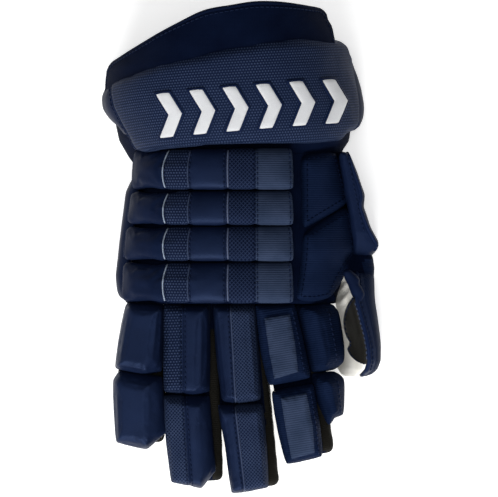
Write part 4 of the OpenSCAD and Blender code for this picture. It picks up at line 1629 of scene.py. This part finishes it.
def build_flare():
    """The soft upper panel beyond the padded roll, with its bound edge."""
    edge = smooth_path(FLARE_EDGE, 3.0)
    run = running_length(edge)
    back = array_of(CUFF_BACK)
    rows, count = [], 14
    for i, (x, y) in enumerate(edge):
        bx = float(np.interp(run[i] / run[-1], [0, 1], FLARE_FOOT))
        by = float(np.interp(bx, back[:, 0], back[:, 1])) - 8
        row = []
        for k in range(count):
            s = k / (count - 1)
            px, py = bx + (x - bx) * s, by + (y - by) * s
            fold = 0.7 * math.sin(px * 0.11 + py * 0.05) * (1 - s) * s * 4
            height = -5 + 2.5 * s + fold
            row.append((CUFF.flat_x(px, py), py, height))
        rows.append(row)
    flat = np.array([p for row in rows for p in row])
    placed = CUFF.lay(flat)
    _, faces = bridge(rows, False)
    obj = make_object("cuff_flare_panel", placed, faces, [LINING])
    vertex_uv(obj.data, flat[:, :2])
    thicken(obj, 3.5, 0)
    subdivide(obj)
    stands_for(obj, "cuff", "lining", "cuff_flare")
    cut = flat.reshape(len(rows), count, 3)[:, :, :2]
    size, area = cut_size(np.vstack([cut[:, 0], cut[-1, 1:], cut[::-1, -1], cut[0, ::-1]]))
    grid = placed.reshape(len(rows), count, 3)
    rim = grid[:, -1]
    up = unit(np.cross(rim - grid[:, -3], np.gradient(rim, axis=0)))
    up *= np.sign(up[:, 2:3] + 1e-9)
    binding = make_object("cuff_edge_binding", *tube(rim, up, 1.6, 12, 1.2), [RIM_BINDING])
    stands_for(binding, "cuff", "navy_leather", "cuff_binding")
    cuff_sewing.stitches(THREAD, grid[:, -2] + up * 1.9, up)


build_flare()


def build_cuff_sleeve():
    """The inner sleeve that the wrist goes through, closed round the palm side."""
    rings, uv, arch_count, base_count = [], [], 70, 26
    for y in np.linspace(76, 150, 28):
        rise = max(0.0, y - 96)
        foot = 4 + rise * 0.95
        low, high = CUFF.flat_z(max(9, foot), y, -1), CUFF.flat_z(max(9, foot), y, 1)
        u = np.linspace(low, high, arch_count)
        wave = 0.5 * np.sin(u * 0.13 + y * 0.1)
        arch = CUFF.lay(np.column_stack([u, np.full(arch_count, y), -16.5 + wave]))
        a, b = arch[-1], arch[0]
        t = np.linspace(0, 1, base_count + 2)[1:-1]
        base = a + (b - a) * t[:, None]
        sag = min(foot, 5.0)
        base[:, 2] -= np.sin(t * math.pi) ** 0.5 * sag * 0.6
        base[:, 2] = np.maximum(base[:, 2], 3.2)
        ring = np.vstack([arch, base])
        ring[:, 1] += np.maximum(0, 80 - ring[:, 2]) * 0.26 * (150 - y) / 74
        rings.append(list(map(tuple, ring)))
        uv += zip(np.concatenate([u, u[-1] + t * np.linalg.norm(b - a)]), ring[:, 1])
    obj = make_cloth("cuff_inner_sleeve", rings, True, LINING, uv, 2.2)
    stands_for(obj, "cuff", "lining", "cuff_sleeve")


build_cuff_sleeve()


# Y, low X, high X and top Z of the loose fabric round the wrist
WRIST = ((56, -74, 66, 45), (62, -78.5, 68, 46), (68, -83, 71, 47.5), (74, -86.5, 74, 56),
         (80, -90, 78, 66), (94, -93, 80, 70))


def build_wrist():
    """Loose lining between the hand and the cuff, round the wrist."""
    rings, arch_count, base_count = [], 60, 20
    for y in np.linspace(56, 94, 22):
        low, high, top = row_at(WRIST, y)
        top += 0.8 * math.sin(y * 0.8)
        arch = arch_curve(low, high, top - 3, arch_count)
        base = np.column_stack([np.linspace(high, low, base_count + 2)[1:-1],
                                np.zeros(base_count)])
        ring = np.vstack([arch, base]) + [0, 4.5]
        rings.append([(x, y, z) for x, z in ring])
    uv = [(x + z, y) for ring in rings for x, y, z in ring]
    obj = make_cloth("wrist_lining", rings, True, LINING, uv, 1.5)
    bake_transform(obj)


build_wrist()

hand_sewing.finish("hand")
cuff_sewing.finish("cuff")
thumb_sewing.finish("thumb")
for body, sewing in finger_sewing.items():
    sewing.finish(body)


# ---------------------------------------------------------------- floor, light and camera

def build_floor():
    corners = [(-3, -3), (3, -3), (3, 3), (-3, 3)]
    mesh = bpy.data.meshes.new("floor")
    mesh.from_pydata([(x, y, -0.0004) for x, y in corners], [], [(0, 1, 2, 3)])
    mesh.materials.append(floor_material())
    floor = link_object("floor", mesh)


def area_light(name, place, target, size, power):
    data = bpy.data.lights.new(name, "AREA")
    data.shape = "RECTANGLE"
    data.size, data.size_y = size
    data.energy = power
    light = link_object(name, data)
    light.location = place
    aim = Vector(target) - Vector(place)
    light.rotation_euler = aim.to_track_quat("-Z", "Y").to_euler()


build_floor()
area_light("key", (-0.25, -1.35, 1.05), (0, 0, 0.03), (1.2, 0.7), 37)
area_light("top", (0.0, 0.1, 3.2), (0, 0, 0), (1.4, 1.4), 24)
area_light("left", (-1.35, 0.25, 0.95), (0, 0, 0.03), (0.9, 0.9), 3.5)
area_light("right", (1.35, 0.1, 0.95), (0, 0, 0.03), (0.9, 0.9), 2.5)

world = bpy.data.worlds.new("studio")
world.use_nodes = True
world.node_tree.nodes["Background"].inputs["Color"].default_value = (1, 1, 1, 1)
world.node_tree.nodes["Background"].inputs["Strength"].default_value = 0.12
bpy.context.scene.world = world
bpy.context.scene.view_settings.view_transform = "Standard"

# The camera looks straight down, its frame about 368 mm wide on the resting plane
camera_data = bpy.data.cameras.new("camera")
camera_data.lens = 250
camera_data.sensor_width = 36
camera = link_object("camera", camera_data)
camera.location = (0.00495, 0.0004, 2.5556)
bpy.context.scene.camera = camera
